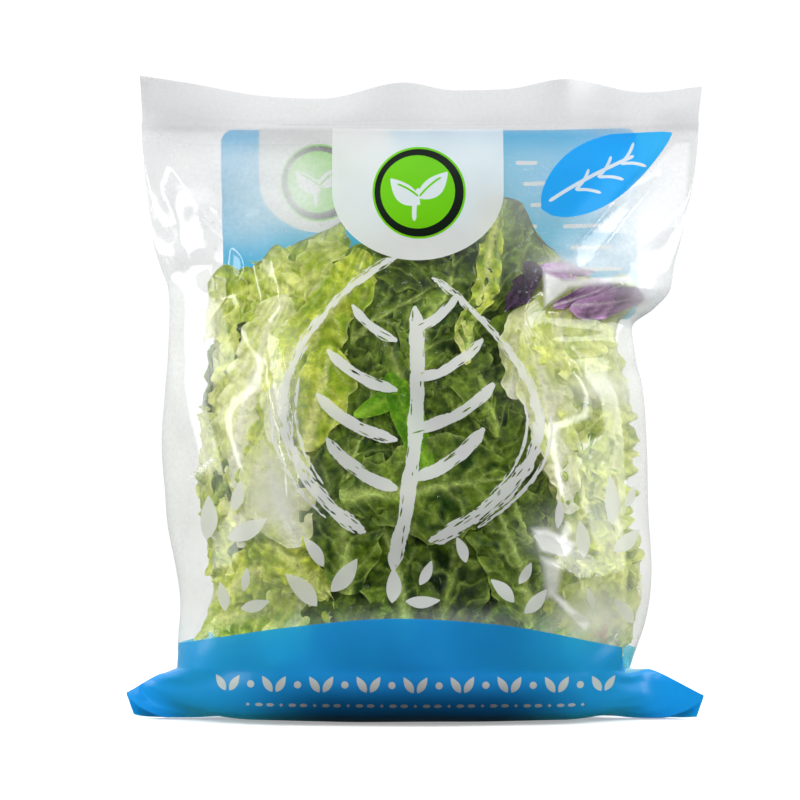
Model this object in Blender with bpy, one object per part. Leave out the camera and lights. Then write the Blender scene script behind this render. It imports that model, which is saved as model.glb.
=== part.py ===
"""A filled pillow bag of salad leaves, standing on its flattened bottom.

One closed solid stands for the clear film with the leaves inside it. The bag is a flat
film tube sealed across both ends: the full bottom is pressed flat on the table and its
two sealed corners stick out as ears, the leaves swell the lower two thirds, and above
them the empty film narrows to the wavy seal at the top.

Sizes are in metres. +Z is up, the printed front faces -Y, and the origin is on the
table, in the middle of the bag's footprint.
"""

import math

import bmesh
import bpy
from mathutils import Vector

MM = 0.001

# Driving dimensions, in millimetres.
SEAL_BASE = 236.0  # height where the leaves' side of the top seal starts
SEAL_STRIP = 20.0  # width of the sealed strip above it
SEAL_HALF = 0.6  # half the thickness of the sealed strip
SEAL_LEAN = 0.6  # how much of the strip's lost height shows as a lean to the back
BASE_ROUND = 15.0  # height of the rounded turn from the walls into the flat bottom
BASE_LEFT, BASE_RIGHT, BASE_DEPTH = 60.0, 68.0, 27.0  # half sizes of the flat bottom

# The side outline: height, reach to the left and reach to the right.
SIDES = (
    (15, 95, 83),
    (30, 94.5, 88.5),
    (45, 93.5, 91.5),
    (62, 95.5, 93),
    (85, 99, 92.3),
    (112, 100, 91.5),
    (132, 99, 90.5),
    (146, 97.5, 88),
    (157, 97, 86.5),
    (164, 97, 94),
    (172, 97.5, 100.5),
    (181, 100.5, 102),
    (192, 103.5, 105),
    (215, 106.5, 110),
    (236, 108.5, 112.5),
    (256, 110, 115),
)
# How far the front and the back swell from the middle plane: height, front and back.
DEPTHS = (
    (15, 39.5, 39),
    (45, 43.5, 42),
    (80, 44, 42.5),
    (125, 40, 38.5),
    (165, 30.5, 30),
    (195, 19.5, 20),
    (218, 9, 9.5),
    (236, 0.6, 0.6),
    (256, 0.6, 0.6),
)
# The cut edge of the top seal, from the left corner to the right: place and height.
SEAL_EDGE = (
    (-110, 256),
    (-88, 253.5),
    (-60, 249.5),
    (-38, 248.5),
    (-4, 254.8),
    (16, 251.8),
    (36, 252.2),
    (60, 255.6),
    (92, 250),
    (115, 252),
)
# Folds in the film: start, end, height and half width of each ridge. A negative height
# is a valley. The first group is on the front, the second on the back.
FRONT_FOLDS = (
    ((-104, 232), (-86, 205), 3.0, 9),
    ((-86, 205), (-80, 176), 3.4, 8),
    ((-102, 176), (-78, 182), -3.4, 9),
    ((-60, 205), (-52, 165), 1.8, 9),
    ((-52, 152), (-44, 92), 2.4, 7),
    ((96, 228), (62, 188), 4.2, 9),
    ((58, 178), (98, 172), 4.0, 8),
    ((52, 163), (88, 160), -3.0, 8),
    ((60, 144), (86, 147), 2.2, 6),
    ((44, 68), (62, 60), 3.0, 9),
)
BACK_FOLDS = (
    ((-98, 228), (-66, 196), 3.6, 10),
    ((-90, 184), (-56, 176), -3.0, 9),
    ((100, 226), (70, 190), 3.6, 10),
    ((92, 168), (60, 162), -3.0, 9),
    ((30, 222), (18, 190), 2.4, 9),
    ((-34, 224), (-26, 188), 2.4, 9),
    ((-60, 60), (-80, 34), 2.4, 9),
    ((58, 54), (76, 30), 2.4, 9),
)
# The ears: the middle of each section from the root, inside the bag, out to the cut tip,
# as place across, place back, lower height, upper height and half thickness.
LEFT_EAR = (
    (-62, 1, 3.4, 23, 21),
    (-80, 2, 3.6, 22.5, 16.5),
    (-91, 3, 3.4, 20.5, 11.5),
    (-100, 4, 3.0, 17, 6.6),
    (-107, 5, 2.8, 13.8, 3.0),
    (-112, 5.5, 3.6, 11.8, 1.3),
    (-115, 5.5, 6.6, 10.4, 0.8),
)
RIGHT_EAR = (
    (56, 1, 2.4, 21, 21),
    (72, 1, 2.2, 21, 17.5),
    (84, 2, 2.2, 21, 13),
    (94, 4, 2.6, 20.6, 8.4),
    (102, 4, 3.4, 18, 4.4),
    (109, 3, 5.2, 14.2, 1.8),
    (115, 1, 8.4, 11, 0.8),
)
EAR_FLARE = 0.35  # how much wider an ear's section is below its middle than above it

AROUND = 72  # points round each ring of the wall
EAR_AROUND = 16  # points round each section of an ear
FILM_COLOUR = (0.62, 0.74, 0.42, 1.0)  # the leaves as they show through the clear film


def steepness(rows, i, column):
    """Slope, at row i, of the smooth curve through a column of rows. It never overshoots."""
    before, here, after = rows[max(i - 1, 0)], rows[i], rows[min(i + 1, len(rows) - 1)]
    slopes = [
        (b[column] - a[column]) / (b[0] - a[0])
        for a, b in ((before, here), (here, after))
        if b[0] != a[0]
    ]
    if slopes[0] * slopes[-1] <= 0:
        return 0.0
    return 2 * slopes[0] * slopes[-1] / (slopes[0] + slopes[-1])


def smooth_between(rows, place):
    """The other columns of rows at a place in their first one, on smooth curves."""
    place = min(max(place, rows[0][0]), rows[-1][0])
    i = next(k for k in range(len(rows) - 1) if place <= rows[k + 1][0])
    low, high = rows[i], rows[i + 1]
    step = high[0] - low[0]
    s = (place - low[0]) / step
    values = []
    for column in range(1, len(low)):
        start = steepness(rows, i, column) * step
        end = steepness(rows, i + 1, column) * step
        eased = low[column] + (high[column] - low[column]) * s * s * (3 - 2 * s)
        values.append(eased + start * s * (1 - s) ** 2 - end * s * s * (1 - s))
    return tuple(values)


def seal_edge(across):
    """Height of the top seal's cut edge."""
    return smooth_between(SEAL_EDGE, across)[0]


def ridge(across, height, folds):
    """How far all folds together lift the film at a point of the wall."""
    lift = 0.0
    for start, end, rise, half_width in folds:
        along = (end[0] - start[0], end[1] - start[1])
        length_squared = along[0] ** 2 + along[1] ** 2
        offset = (across - start[0], height - start[1])
        share = (offset[0] * along[0] + offset[1] * along[1]) / length_squared
        share = min(max(share, 0.0), 1.0)
        distance = math.hypot(offset[0] - share * along[0], offset[1] - share * along[1])
        lift += rise * max(0.0, 1.0 - distance / half_width)
    return lift


def swell(across, height):
    """The soft lumps that the leaves press into the film."""
    wave = math.sin(across / 13.0 + math.sin(height / 21.0) * 1.7)
    return 1.5 * wave * math.sin(height / 17.0 + across / 31.0)


def sway(across, height):
    """How far the nearly empty film above the leaves waves out of the middle plane."""
    share = min(max((height - 195.0) / 50.0, 0.0), 1.0)
    wave = math.sin(across / 10.5 + 0.6) + 0.5 * math.sin(across / 6.3 + 2.0)
    return 1.7 * share * share * wave


def wall_point(turn, height, across_shift=0.0):
    """A point of the wall, in millimetres. turn goes once round, from the right side
    over the front to the left side and along the back."""
    left, right = smooth_between(SIDES, height)
    front, back = smooth_between(DEPTHS, height)
    side = math.cos(turn)
    across = (right - left) / 2 + (right + left) / 2 * side + across_shift
    sharpness = min(max((height - 140.0) / 60.0, 0.0), 1.0)
    bulge = max(1.0 - abs(side) ** 2.3, 0.0) ** (0.5 + 0.4 * sharpness)
    in_front = math.sin(turn) > 0
    depth = (front if in_front else back) * bulge
    filled = min(max((SEAL_BASE - height) / 30.0, 0.0), 1.0) * min(bulge * 2.0, 1.0)
    folds = FRONT_FOLDS if in_front else BACK_FOLDS
    depth += filled * ridge(across, height, folds)
    depth += filled * swell(across, height + (0 if in_front else 40))
    depth = max(depth, SEAL_HALF * min(bulge * 3.0, 1.0))
    return across, (-depth if in_front else depth) + sway(across, height), height


def base_ring(share, turn):
    """A point of the rounded turn under the wall. share is 0 on the table, 1 at its top."""
    top = wall_point(turn, BASE_ROUND)
    side, reach = math.cos(turn), math.sin(turn)
    half_width = BASE_RIGHT if side > 0 else BASE_LEFT
    squareness = (abs(side) ** 3 + abs(reach) ** 3) ** (-1 / 3)
    foot = (half_width * side * squareness, -BASE_DEPTH * reach * squareness)
    rise = 1.0 - math.sqrt(max(1.0 - share * share, 0.0))
    inward = 1.0 - math.sqrt(max(1.0 - (1.0 - share) ** 2, 0.0))
    across = top[0] + (foot[0] - top[0]) * inward
    depth = top[1] + (foot[1] - top[1]) * inward
    return across, depth, BASE_ROUND * rise


def seal_ring(share, turn):
    """A point of the sealed strip at the top. share is 0 at its lower line, 1 at the cut."""
    across, depth, _ = wall_point(turn, SEAL_BASE + SEAL_STRIP * share)
    tall = seal_edge(across) - SEAL_BASE
    lean = SEAL_LEAN * math.sqrt(max(SEAL_STRIP**2 - tall**2, 0.0)) * share**1.5
    return across, depth + lean, SEAL_BASE + tall * share


def rings():
    """All rings of the bag from the table up, each a list of points in millimetres."""
    turns = [2 * math.pi * (i + 0.5) / AROUND for i in range(AROUND)]
    made = [[base_ring(share, t) for t in turns] for share in (0, 0.35, 0.62, 0.84)]
    heights = [BASE_ROUND + 6.2 * i for i in range(36)]
    made += [[wall_point(t, h) for t in turns] for h in heights if h < SEAL_BASE - 2]
    made += [[seal_ring(share, t) for t in turns] for share in (0, 0.25, 0.5, 0.75, 1)]
    return made


def ear_rings(ear):
    """The sections of one ear, each a flat loop that is widest near its lower end."""
    made = []
    for across, back, low, high, half_thick in ear:
        middle, half_tall = (low + high) / 2, (high - low) / 2
        loop = []
        for i in range(EAR_AROUND):
            turn = 2 * math.pi * i / EAR_AROUND
            thick = half_thick * math.sin(turn) * (1 - EAR_FLARE * math.cos(turn))
            loop.append((across, back + thick, middle + half_tall * math.cos(turn)))
        made.append(loop)
    return made


def loft(name, loops):
    """A closed mesh object through loops of equally many points, in millimetres."""
    bm = bmesh.new()
    levels = [[bm.verts.new(Vector(p) * MM) for p in loop] for loop in loops]
    for lower, upper in zip(levels, levels[1:]):
        for i, corner in enumerate(lower):
            after = (i + 1) % len(lower)
            bm.faces.new((corner, lower[after], upper[after], upper[i]))
    bm.faces.new(levels[0])
    bm.faces.new(levels[-1])
    bmesh.ops.triangulate(bm, faces=[f for f in bm.faces if len(f.verts) > 4])
    bmesh.ops.recalc_face_normals(bm, faces=bm.faces)
    mesh = bpy.data.meshes.new(name)
    bm.to_mesh(mesh)
    bm.free()
    made = bpy.data.objects.new(name, mesh)
    bpy.context.scene.collection.objects.link(made)
    return made


def join_ear(bag, ear):
    """A Boolean union of one ear with the bag. The ear stays hidden as a helper."""
    ear.hide_render = True
    ear.display_type = "WIRE"
    union = bag.modifiers.new("join_" + ear.name, "BOOLEAN")
    union.operation = "UNION"
    union.solver = "EXACT"
    union.object = ear


def film_material():
    """The glossy printed film with green leaves behind it, as one plain surface."""
    material = bpy.data.materials.new("clear_film_over_leaves")
    material.use_nodes = True
    shader = material.node_tree.nodes["Principled BSDF"]
    shader.inputs["Base Color"].default_value = FILM_COLOUR
    shader.inputs["Roughness"].default_value = 0.2
    shader.inputs["Metallic"].default_value = 0.0
    return material


def centre_on_footprint(objects):
    """Moves the objects so that the origin is in the middle of the bag's footprint."""
    corners = [v.co for o in objects for v in o.data.vertices]
    middle_x = (min(c.x for c in corners) + max(c.x for c in corners)) / 2
    middle_y = (min(c.y for c in corners) + max(c.y for c in corners)) / 2
    for o in objects:
        o.location = (-middle_x, -middle_y, 0)


def main():
    for old in list(bpy.data.objects):
        bpy.data.objects.remove(old)
    bag = loft("salad_bag", rings())
    ears = [loft("ear_left", ear_rings(LEFT_EAR)), loft("ear_right", ear_rings(RIGHT_EAR))]
    for ear in ears:
        join_ear(bag, ear)
    centre_on_footprint([bag, *ears])
    bag.data.materials.append(film_material())
    bag.data.shade_smooth()


main()
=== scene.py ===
"""A bag of salad leaves: a clear printed pillow bag, standing, with the leaves inside it.

The film is one flat tube, sealed across both ends. Its rest shape follows the CAD solid;
a small cloth solver then gives the spare film its creases. The print is cut into the
film, and every leaf lies on a surface nested inside it. Lengths are in millimetres until
a mesh is made, with the frame's axes: +Z up, the printed front faces -Y.
"""

import math
import random

import bpy
import numpy as np
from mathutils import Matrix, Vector
from mathutils.geometry import delaunay_2d_cdt


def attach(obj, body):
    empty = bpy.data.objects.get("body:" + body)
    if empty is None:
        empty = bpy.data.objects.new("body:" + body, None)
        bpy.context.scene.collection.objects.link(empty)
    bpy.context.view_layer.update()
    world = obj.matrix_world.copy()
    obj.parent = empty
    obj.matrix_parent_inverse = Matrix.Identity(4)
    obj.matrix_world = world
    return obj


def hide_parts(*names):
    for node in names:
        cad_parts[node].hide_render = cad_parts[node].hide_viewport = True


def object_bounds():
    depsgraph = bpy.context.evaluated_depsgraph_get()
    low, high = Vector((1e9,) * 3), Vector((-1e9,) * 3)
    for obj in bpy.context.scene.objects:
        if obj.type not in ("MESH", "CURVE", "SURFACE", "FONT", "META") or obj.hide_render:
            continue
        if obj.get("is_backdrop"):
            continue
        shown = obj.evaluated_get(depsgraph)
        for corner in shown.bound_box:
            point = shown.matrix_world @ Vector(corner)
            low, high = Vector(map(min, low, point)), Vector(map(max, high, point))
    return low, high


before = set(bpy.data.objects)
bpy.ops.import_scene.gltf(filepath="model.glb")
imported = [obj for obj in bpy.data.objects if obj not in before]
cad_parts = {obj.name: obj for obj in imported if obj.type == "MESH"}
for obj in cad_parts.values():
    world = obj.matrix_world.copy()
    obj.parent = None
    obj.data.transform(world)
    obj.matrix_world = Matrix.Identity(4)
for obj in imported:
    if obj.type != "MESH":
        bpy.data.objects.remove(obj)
cad_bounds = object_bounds()
MM = 0.001
NODE = "salad_bag"

# ---------------------------------------------------------------- the bag's own sizes
SEAL_BASE = 236.0  # height where the leaves' side of the top seal starts
SEAL_STRIP = 20.0  # width of the sealed strip above it
SEAL_LEAN = 0.6  # how much of the strip's lost height shows as a lean to the back
# The side outline: height, reach to the left and reach to the right.
SIDES = (
    (15, 95, 83),
    (30, 94.5, 88.5),
    (45, 93.5, 91.5),
    (62, 95.5, 93),
    (85, 99, 92.3),
    (112, 100, 91.5),
    (132, 99, 90.5),
    (146, 97.5, 88),
    (157, 97, 86.5),
    (164, 97, 94),
    (172, 97.5, 100.5),
    (181, 100.5, 102),
    (192, 103.5, 105),
    (215, 106.5, 110),
    (236, 108.5, 112.5),
    (256, 110, 115),
)
# How far the front and the back swell from the middle plane: height, front and back.
DEPTHS = (
    (15, 39.5, 39),
    (45, 43.5, 42),
    (80, 44, 42.5),
    (125, 40, 38.5),
    (165, 30.5, 30),
    (195, 19.5, 20),
    (218, 9, 9.5),
    (236, 0.6, 0.6),
    (256, 0.6, 0.6),
)
# The cut edge of the top seal, from the left corner to the right: place and height.
SEAL_EDGE = (
    (-110, 256),
    (-88, 253.5),
    (-60, 249.5),
    (-38, 248.5),
    (-4, 254.8),
    (16, 251.8),
    (36, 252.2),
    (60, 255.6),
    (92, 250),
    (115, 252),
)
# Folds in the film: start, end, height and half width of each ridge or, below 0, valley.
FRONT_FOLDS = (
    ((-104, 232), (-86, 205), 3.0, 9),
    ((-86, 205), (-80, 176), 3.4, 8),
    ((-102, 176), (-78, 182), -3.4, 9),
    ((-60, 205), (-52, 165), 1.8, 9),
    ((-52, 152), (-44, 92), 2.4, 7),
    ((96, 228), (62, 188), 4.2, 9),
    ((58, 178), (98, 172), 4.0, 8),
    ((52, 163), (88, 160), -3.0, 8),
    ((60, 144), (86, 147), 2.2, 6),
    ((44, 68), (62, 60), 3.0, 9),
)
BACK_FOLDS = (
    ((-98, 228), (-66, 196), 3.6, 10),
    ((-90, 184), (-56, 176), -3.0, 9),
    ((100, 226), (70, 190), 3.6, 10),
    ((92, 168), (60, 162), -3.0, 9),
    ((30, 222), (18, 190), 2.4, 9),
    ((-34, 224), (-26, 188), 2.4, 9),
    ((-60, 60), (-80, 34), 2.4, 9),
    ((58, 54), (76, 30), 2.4, 9),
)
# The ears, left and right: where the side fold leaves the wall for the ear's top edge,
# the point halfway down that edge, and its tip, where the bottom seal starts.
EAR_HALFWAY = ((-106, 4, 15.8), (95, 2, 20.4))
EAR_TIP = ((-114.6, 5, 11), (114.4, 1, 10))
WALL_FOOT = 22.0  # height where the walls start, above the turn into the flat bottom
BOTTOM_SEAL = 8.5  # width of the bottom seal, folded flat under the bag

ACROSS = 104  # cells across each of the tube's two sheets
ROUND = 2 * ACROSS  # cells round the whole tube
DEPTHS_MIDDLE = 38.0  # from the bottom seal out to the foot of a wall
BASE_ROWS = 28  # rows from the bottom seal to the foot of the walls
SEAL_ROWS = 4  # rows of the bottom seal
TOP_STRIP = 9  # rows of the top seal
CELL = 2.2  # height of a row on the walls


def curve(rows, place):
    """The other columns of rows at places along the first one, on smooth curves that
    never overshoot."""
    rows = np.array(rows, float)
    x, y = rows[:, 0], rows[:, 1:]
    slopes = np.diff(y, axis=0) / np.diff(x)[:, None]
    low, high = np.vstack([slopes[:1], slopes]), np.vstack([slopes, slopes[-1:]])
    product = low * high
    steep = np.zeros_like(y)
    np.divide(2 * product, low + high, out=steep, where=product > 0)
    place = np.clip(np.asarray(place, float), x[0], x[-1])
    i = np.clip(np.searchsorted(x, place) - 1, 0, len(x) - 2)
    step = (x[i + 1] - x[i])[..., None]
    s = (place - x[i])[..., None] / step
    eased = y[i] + (y[i + 1] - y[i]) * s * s * (3 - 2 * s)
    bend = steep[i] * step * s * (1 - s) ** 2 - steep[i + 1] * step * s * s * (1 - s)
    return np.moveaxis(eased + bend, -1, 0)


def smoothstep(low, high, value):
    s = np.clip((value - low) / (high - low), 0, 1)
    return s * s * (3 - 2 * s)


def blend(first, second, share):
    return first * (1 - share) + second * share


def unit(vectors):
    """The same directions with length 1."""
    return vectors / np.maximum(np.linalg.norm(vectors, axis=-1, keepdims=True), 1e-9)


def evenly(points, count=0, spacing=1.0):
    """Evenly spaced points along a polyline: count of them, or about a spacing apart."""
    points = np.asarray(points, float)
    reach = np.concatenate([[0], np.cumsum(np.linalg.norm(np.diff(points, axis=0), axis=1))])
    even = np.linspace(0, reach[-1], count or max(int(reach[-1] / spacing), 2) + 1)
    return np.stack([np.interp(even, reach, column) for column in points.T], axis=-1)


def ridge(x, z, folds):
    """How far all folds together lift the film."""
    lift = np.zeros_like(x)
    for (x0, z0), (x1, z1), rise, half_width in folds:
        along = (x1 - x0, z1 - z0)
        share = ((x - x0) * along[0] + (z - z0) * along[1]) / (along[0] ** 2 + along[1] ** 2)
        share = np.clip(share, 0, 1)
        distance = np.hypot(x - x0 - share * along[0], z - z0 - share * along[1])
        lift += rise * np.maximum(0, 1 - distance / half_width)
    return lift


def swell(x, z):
    """The soft lumps that the leaves press into the film."""
    return 1.5 * np.sin(x / 13 + np.sin(z / 21) * 1.7) * np.sin(z / 17 + x / 31)


def sway(x, z):
    """How far the nearly empty film above the leaves waves out of the middle plane."""
    share = np.clip((z - 195) / 50, 0, 1)
    return 1.7 * share**2 * (np.sin(x / 10.5 + 0.6) + 0.5 * np.sin(x / 6.3 + 2))


def wall(turn, z):
    """The bag's wall. turn is 0 at the right side fold, positive over the front and
    negative over the back."""
    left, right = curve(SIDES, z)
    front, back = curve(DEPTHS, z)
    side, in_front = np.cos(turn), np.sin(turn) > 0
    x = (right - left) / 2 + (right + left) / 2 * side
    sharpness = np.clip((z - 140) / 60, 0, 1)
    bulge = np.maximum(1 - np.abs(side) ** 2.3, 0) ** (0.5 + 0.4 * sharpness)
    depth = np.where(in_front, front, back) * bulge
    filled = np.clip((SEAL_BASE - z) / 30, 0, 1) * np.minimum(bulge * 2, 1)
    folds = np.where(in_front, ridge(x, z, FRONT_FOLDS), ridge(x, z, BACK_FOLDS))
    depth += filled * (folds + swell(x, z + np.where(in_front, 0, 40)))
    depth = np.maximum(depth, 0.1 * np.minimum(bulge * 3, 1))
    return np.stack([x, np.where(in_front, -depth, depth) + sway(x, z), z], axis=-1)


def even_row(z):
    """One row round the tube at a height, evenly spaced over each sheet. It starts at the
    left side fold and runs over the front to the right one, then along the back."""
    row = []
    for start, end in ((math.pi, 0), (0, -math.pi)):
        line = wall(np.linspace(start, end, 401), np.full(401, z))
        row.append(evenly(line, ACROSS + 1)[:-1])
    return np.concatenate(row)


def fold_share():
    """For each column, 0 in the middle of a sheet to 1 at a side fold, and the sheet
    coordinate from -1 at the left fold to 1 at the right one."""
    column = np.arange(ROUND)
    u = np.where(column <= ACROSS, 2 * column / ACROSS - 1, 3 - 2 * column / ACROSS)
    return smoothstep(0.56, 1.0, np.abs(u)) ** 1.2, u


def by_side(pair, u):
    """The left or the right point of a pair, for each column."""
    return np.where((u < 0)[:, None], np.array(pair[0], float), np.array(pair[1], float))


def base_profile():
    """How far in and how far up the rows of the base lie, evenly spaced round its turn."""
    turn = np.linspace(0, math.pi / 2, 400)
    inward, upward = 1 - np.sin(turn) ** 0.45, 1 - np.cos(turn) ** 0.45
    steps = np.hypot(np.diff(inward) * DEPTHS_MIDDLE, np.diff(upward) * WALL_FOOT)
    reach = np.concatenate([[0], np.cumsum(steps)])
    even = np.linspace(0, reach[-1], BASE_ROWS + 1)[:-1]
    return zip(np.interp(even, reach, inward), np.interp(even, reach, upward), strict=True)


def base_rows():
    """Rows from the bottom seal, under the bag and out along the ears, to the walls."""
    out, u = fold_share()
    out = out[:, None]
    foot = even_row(WALL_FOOT)
    corner = blend(foot * (1, 1, 0), by_side(EAR_HALFWAY, u), out)
    tips = by_side(EAR_TIP, u)
    span = EAR_TIP[0][0] + (EAR_TIP[1][0] - EAR_TIP[0][0]) * (u + 1) / 2
    middle = np.stack([span, np.full(ROUND, 2.0), np.full(ROUND, 1.3)], axis=-1)
    tipward = smoothstep(0.86, 1.0, np.abs(u))[:, None]
    seam = blend(middle, tips, tipward)
    hang = blend(np.array([0, 0.99, -0.11]), np.array([0, -0.05, -0.98]), tipward)
    hang[:, 0] = -0.35 * np.sign(u) * tipward[:, 0]
    rows = [seam + hang * BOTTOM_SEAL * (1 - k / SEAL_ROWS) for k in range(SEAL_ROWS)]
    for inward, upward in base_profile():
        rows.append(corner + (seam - corner) * inward + (foot - corner) * upward)
    return rows


def top_rows():
    """Rows of the sealed strip at the top, up to its wavy cut edge."""
    rows = []
    for share in np.linspace(0, 1, TOP_STRIP + 1)[1:]:
        row = even_row(SEAL_BASE + SEAL_STRIP * share)
        tall = curve(SEAL_EDGE, row[:, 0])[0] - SEAL_BASE
        lean = SEAL_LEAN * np.sqrt(np.maximum(SEAL_STRIP**2 - tall**2, 0)) * share**1.5
        row[:, 1] = sway(row[:, 0], SEAL_BASE + SEAL_STRIP * share) + lean
        row[:, 2] = SEAL_BASE + tall * share
        rows.append(row)
    return rows


def film_target():
    """Where the film lies before it creases, as rows of points round the tube."""
    count = round((SEAL_BASE - WALL_FOOT) / CELL)
    walls = [even_row(z) for z in np.linspace(WALL_FOOT, SEAL_BASE, count + 1)]
    grid = np.array(base_rows() + walls + top_rows())
    box_middle = (grid[..., 1].min() + grid[..., 1].max()) / 2
    cad_middle = (cad_bounds[0][1] + cad_bounds[1][1]) / 2 / MM
    grid[..., 1] += cad_middle - box_middle
    return grid


# ------------------------------------------------------------------ creases in the film
def tangents(grid):
    """Steps along the columns and along the rows, at each point of a tube of points."""
    across = (np.roll(grid, -1, axis=1) - np.roll(grid, 1, axis=1)) / 2
    return across, np.gradient(grid, axis=0)


def outward(grid):
    return unit(np.cross(*tangents(grid)))


def lumps(shape, size, seed):
    """Smooth noise between -1 and 1 over rows and columns, round the tube. size is the
    distance between its lumps, in cells down and along."""
    rng = np.random.default_rng(seed)
    down, along = max(int(shape[0] / size[0]), 2) + 1, max(int(shape[1] / size[1]), 3)
    coarse = rng.uniform(-1, 1, (down, along))
    r = np.linspace(0, down - 1.001, shape[0])
    c = np.arange(shape[1]) * along / shape[1]
    r0, c0 = r.astype(int), c.astype(int)
    fr, fc = r - r0, c - c0
    fr, fc = (fr * fr * (3 - 2 * fr))[:, None], (fc * fc * (3 - 2 * fc))[None]
    c1 = (c0 + 1) % along
    low = blend(coarse[r0][:, c0], coarse[r0][:, c1], fc)
    high = blend(coarse[r0 + 1][:, c0], coarse[r0 + 1][:, c1], fc)
    return blend(low, high, fr)


def blob(x, z, place, size):
    """1 at a place, falling off smoothly over a size across and up."""
    return np.exp(-(((x - place[0]) / size[0]) ** 2) - ((z - place[1]) / size[1]) ** 2)


# Where the front has spare film: place, size, and the spare share across and up.
FRONT_SLACK = (
    ((-92, 150), (16, 90), 0.028, 0.006),
    ((90, 200), (22, 34), 0.032, 0.030),
    ((78, 160), (22, 16), 0.015, 0.045),
    ((86, 100), (12, 60), 0.020, 0.006),
    ((58, 62), (26, 22), 0.025, 0.025),
    ((0, 226), (120, 10), 0.006, 0.0),
    ((-96, 24), (16, 14), 0.025, 0.025),
    ((88, 24), (16, 14), 0.035, 0.035),
    ((0, 22), (90, 10), 0.008, 0.014),
    ((-88, 196), (20, 20), 0.018, 0.022),
)


def slack(grid):
    """Shares by which the film is longer than the shape it covers, across and up."""
    x, y, z = grid[..., 0], grid[..., 1], grid[..., 2]
    across, up = np.full(x.shape, 0.003), np.full(x.shape, 0.003)
    for place, size, more_across, more_up in FRONT_SLACK:
        here = blob(x, z, place, size)
        across += more_across * here
        up += more_up * here
    behind = y > 0
    across[behind] += 0.010
    up[behind] += 0.008
    across[z > SEAL_BASE] = 0
    return across, up


def neighbours(rows, down, along):
    """Pairs of points that lie down rows and along columns apart, in two sets in which
    no point comes twice."""
    r, c = np.meshgrid(np.arange(rows - down), np.arange(ROUND), indexing="ij")
    a = r * ROUND + c
    b = (r + down) * ROUND + (c + along) % ROUND
    even = (r // down if down else c // along) % 2 == 0
    return [(a[even], b[even]), (a[~even], b[~even])]


# The cloth solver's links between points: rows down, columns along, and how firmly each
# holds its length. The long ones resist bending.
STIFFNESS = (
    (0, 1, 1.0),
    (1, 0, 1.0),
    (1, 1, 0.6),
    (1, -1, 0.6),
    (0, 2, 0.35),
    (2, 0, 0.35),
    (0, 4, 0.30),
    (4, 0, 0.30),
    (0, 8, 0.20),
    (8, 0, 0.20),
)
MOST_RISE = 5.0  # the film's furthest way out from its target
PULL_BACK = 0.002  # share of the way back to the target that each step takes
LEAST_HEIGHT = 0.3  # the film's least height above the floor
SOLVER_STEPS, QUICK_STEPS = 300, 30


def creased(target, steps):
    """The film as spare length creases it: a small cloth solver. The film keeps its
    length, resists bending, stays near the target and can't sink into the leaves."""
    rows = len(target)
    more_across, more_up = slack(target)
    normal = outward(target).reshape(-1, 3)
    goal = target.reshape(-1, 3)
    links = []
    for down, along, hold in STIFFNESS:
        for a, b in neighbours(rows, down, along):
            span = goal[b] - goal[a]
            grown = np.linalg.norm(span, axis=1)
            share_across = more_across.reshape(-1)[a] * (along != 0)
            share_up = more_up.reshape(-1)[a] * (down != 0)
            if down and along:
                share_across, share_up = share_across / 2, share_up / 2
            links.append((a, b, grown * (1 + share_across + share_up), hold))
    shape = target.shape[:2]
    start = 2.2 * lumps(shape, (30, 20), 3) + 0.3 * lumps(shape, (14, 12), 4)
    start *= smoothstep(SEAL_BASE, SEAL_BASE - 25, target[..., 2])
    points = goal + normal * start.reshape(-1, 1)
    on_leaves = smoothstep(205, 175, goal[:, 2]) * smoothstep(20, 34, goal[:, 2])
    sink = -(3.0 - 2.5 * on_leaves)
    column = np.arange(ROUND)
    twin = (ROUND - column) % ROUND
    sealed = np.r_[0 : SEAL_ROWS + 1, rows - TOP_STRIP - 1 : rows]
    for _ in range(steps):
        for a, b, rest, hold in links:
            span = points[b] - points[a]
            length = np.sqrt(np.einsum("ij,ij->i", span, span)) + 1e-9
            move = span * (0.5 * hold * (length - rest) / length)[:, None]
            points[a] += move
            points[b] -= move
        away = np.einsum("ij,ij->i", points - goal, normal)
        points += normal * (np.clip(away, sink, MOST_RISE) - away)[:, None]
        points += (goal - points) * PULL_BACK
        points[:, 2] = np.maximum(points[:, 2], LEAST_HEIGHT)
        grid = points.reshape(rows, ROUND, 3)
        grid[sealed] = (grid[sealed] + grid[sealed][:, twin]) / 2
    return points.reshape(target.shape)


def finer(grid):
    """Twice as many rows and columns, on a smooth surface through the same points."""
    before, after, next_one = (np.roll(grid, k, axis=1) for k in (1, -1, -2))
    between = (9 * (grid + after) - before - next_one) / 16
    wide = np.stack([grid, between], axis=2).reshape(grid.shape[0], -1, 3)
    padded = np.concatenate([2 * wide[:1] - wide[1:2], wide, 2 * wide[-1:] - wide[-2:-1]])
    middle = (9 * (padded[1:-2] + padded[2:-1]) - padded[:-3] - padded[3:]) / 16
    tall = np.empty((2 * len(wide) - 1, *wide.shape[1:]))
    tall[0::2], tall[1::2] = wide, middle
    return tall


# --------------------------------------------------------- places on the film's sheets
WIDE = 2 * ACROSS  # cells across one sheet of the finer film
STEP = 1.1  # size of a cell of the finer film
SEAL_GAP = 0.12  # how far the sealed rows stand out from their middle
FOOT_ROW = 2 * (SEAL_ROWS + BASE_ROWS)  # row of the finer film at the foot of the walls
WALL_HEIGHT = SEAL_BASE + SEAL_STRIP - WALL_FOOT


def sheet_of(grid, back):
    """One sheet of the finer tube, its columns from the left side fold to the right."""
    column = np.arange(WIDE + 1)
    return grid[:, (2 * WIDE - column) % (2 * WIDE)] if back else grid[:, column]


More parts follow.
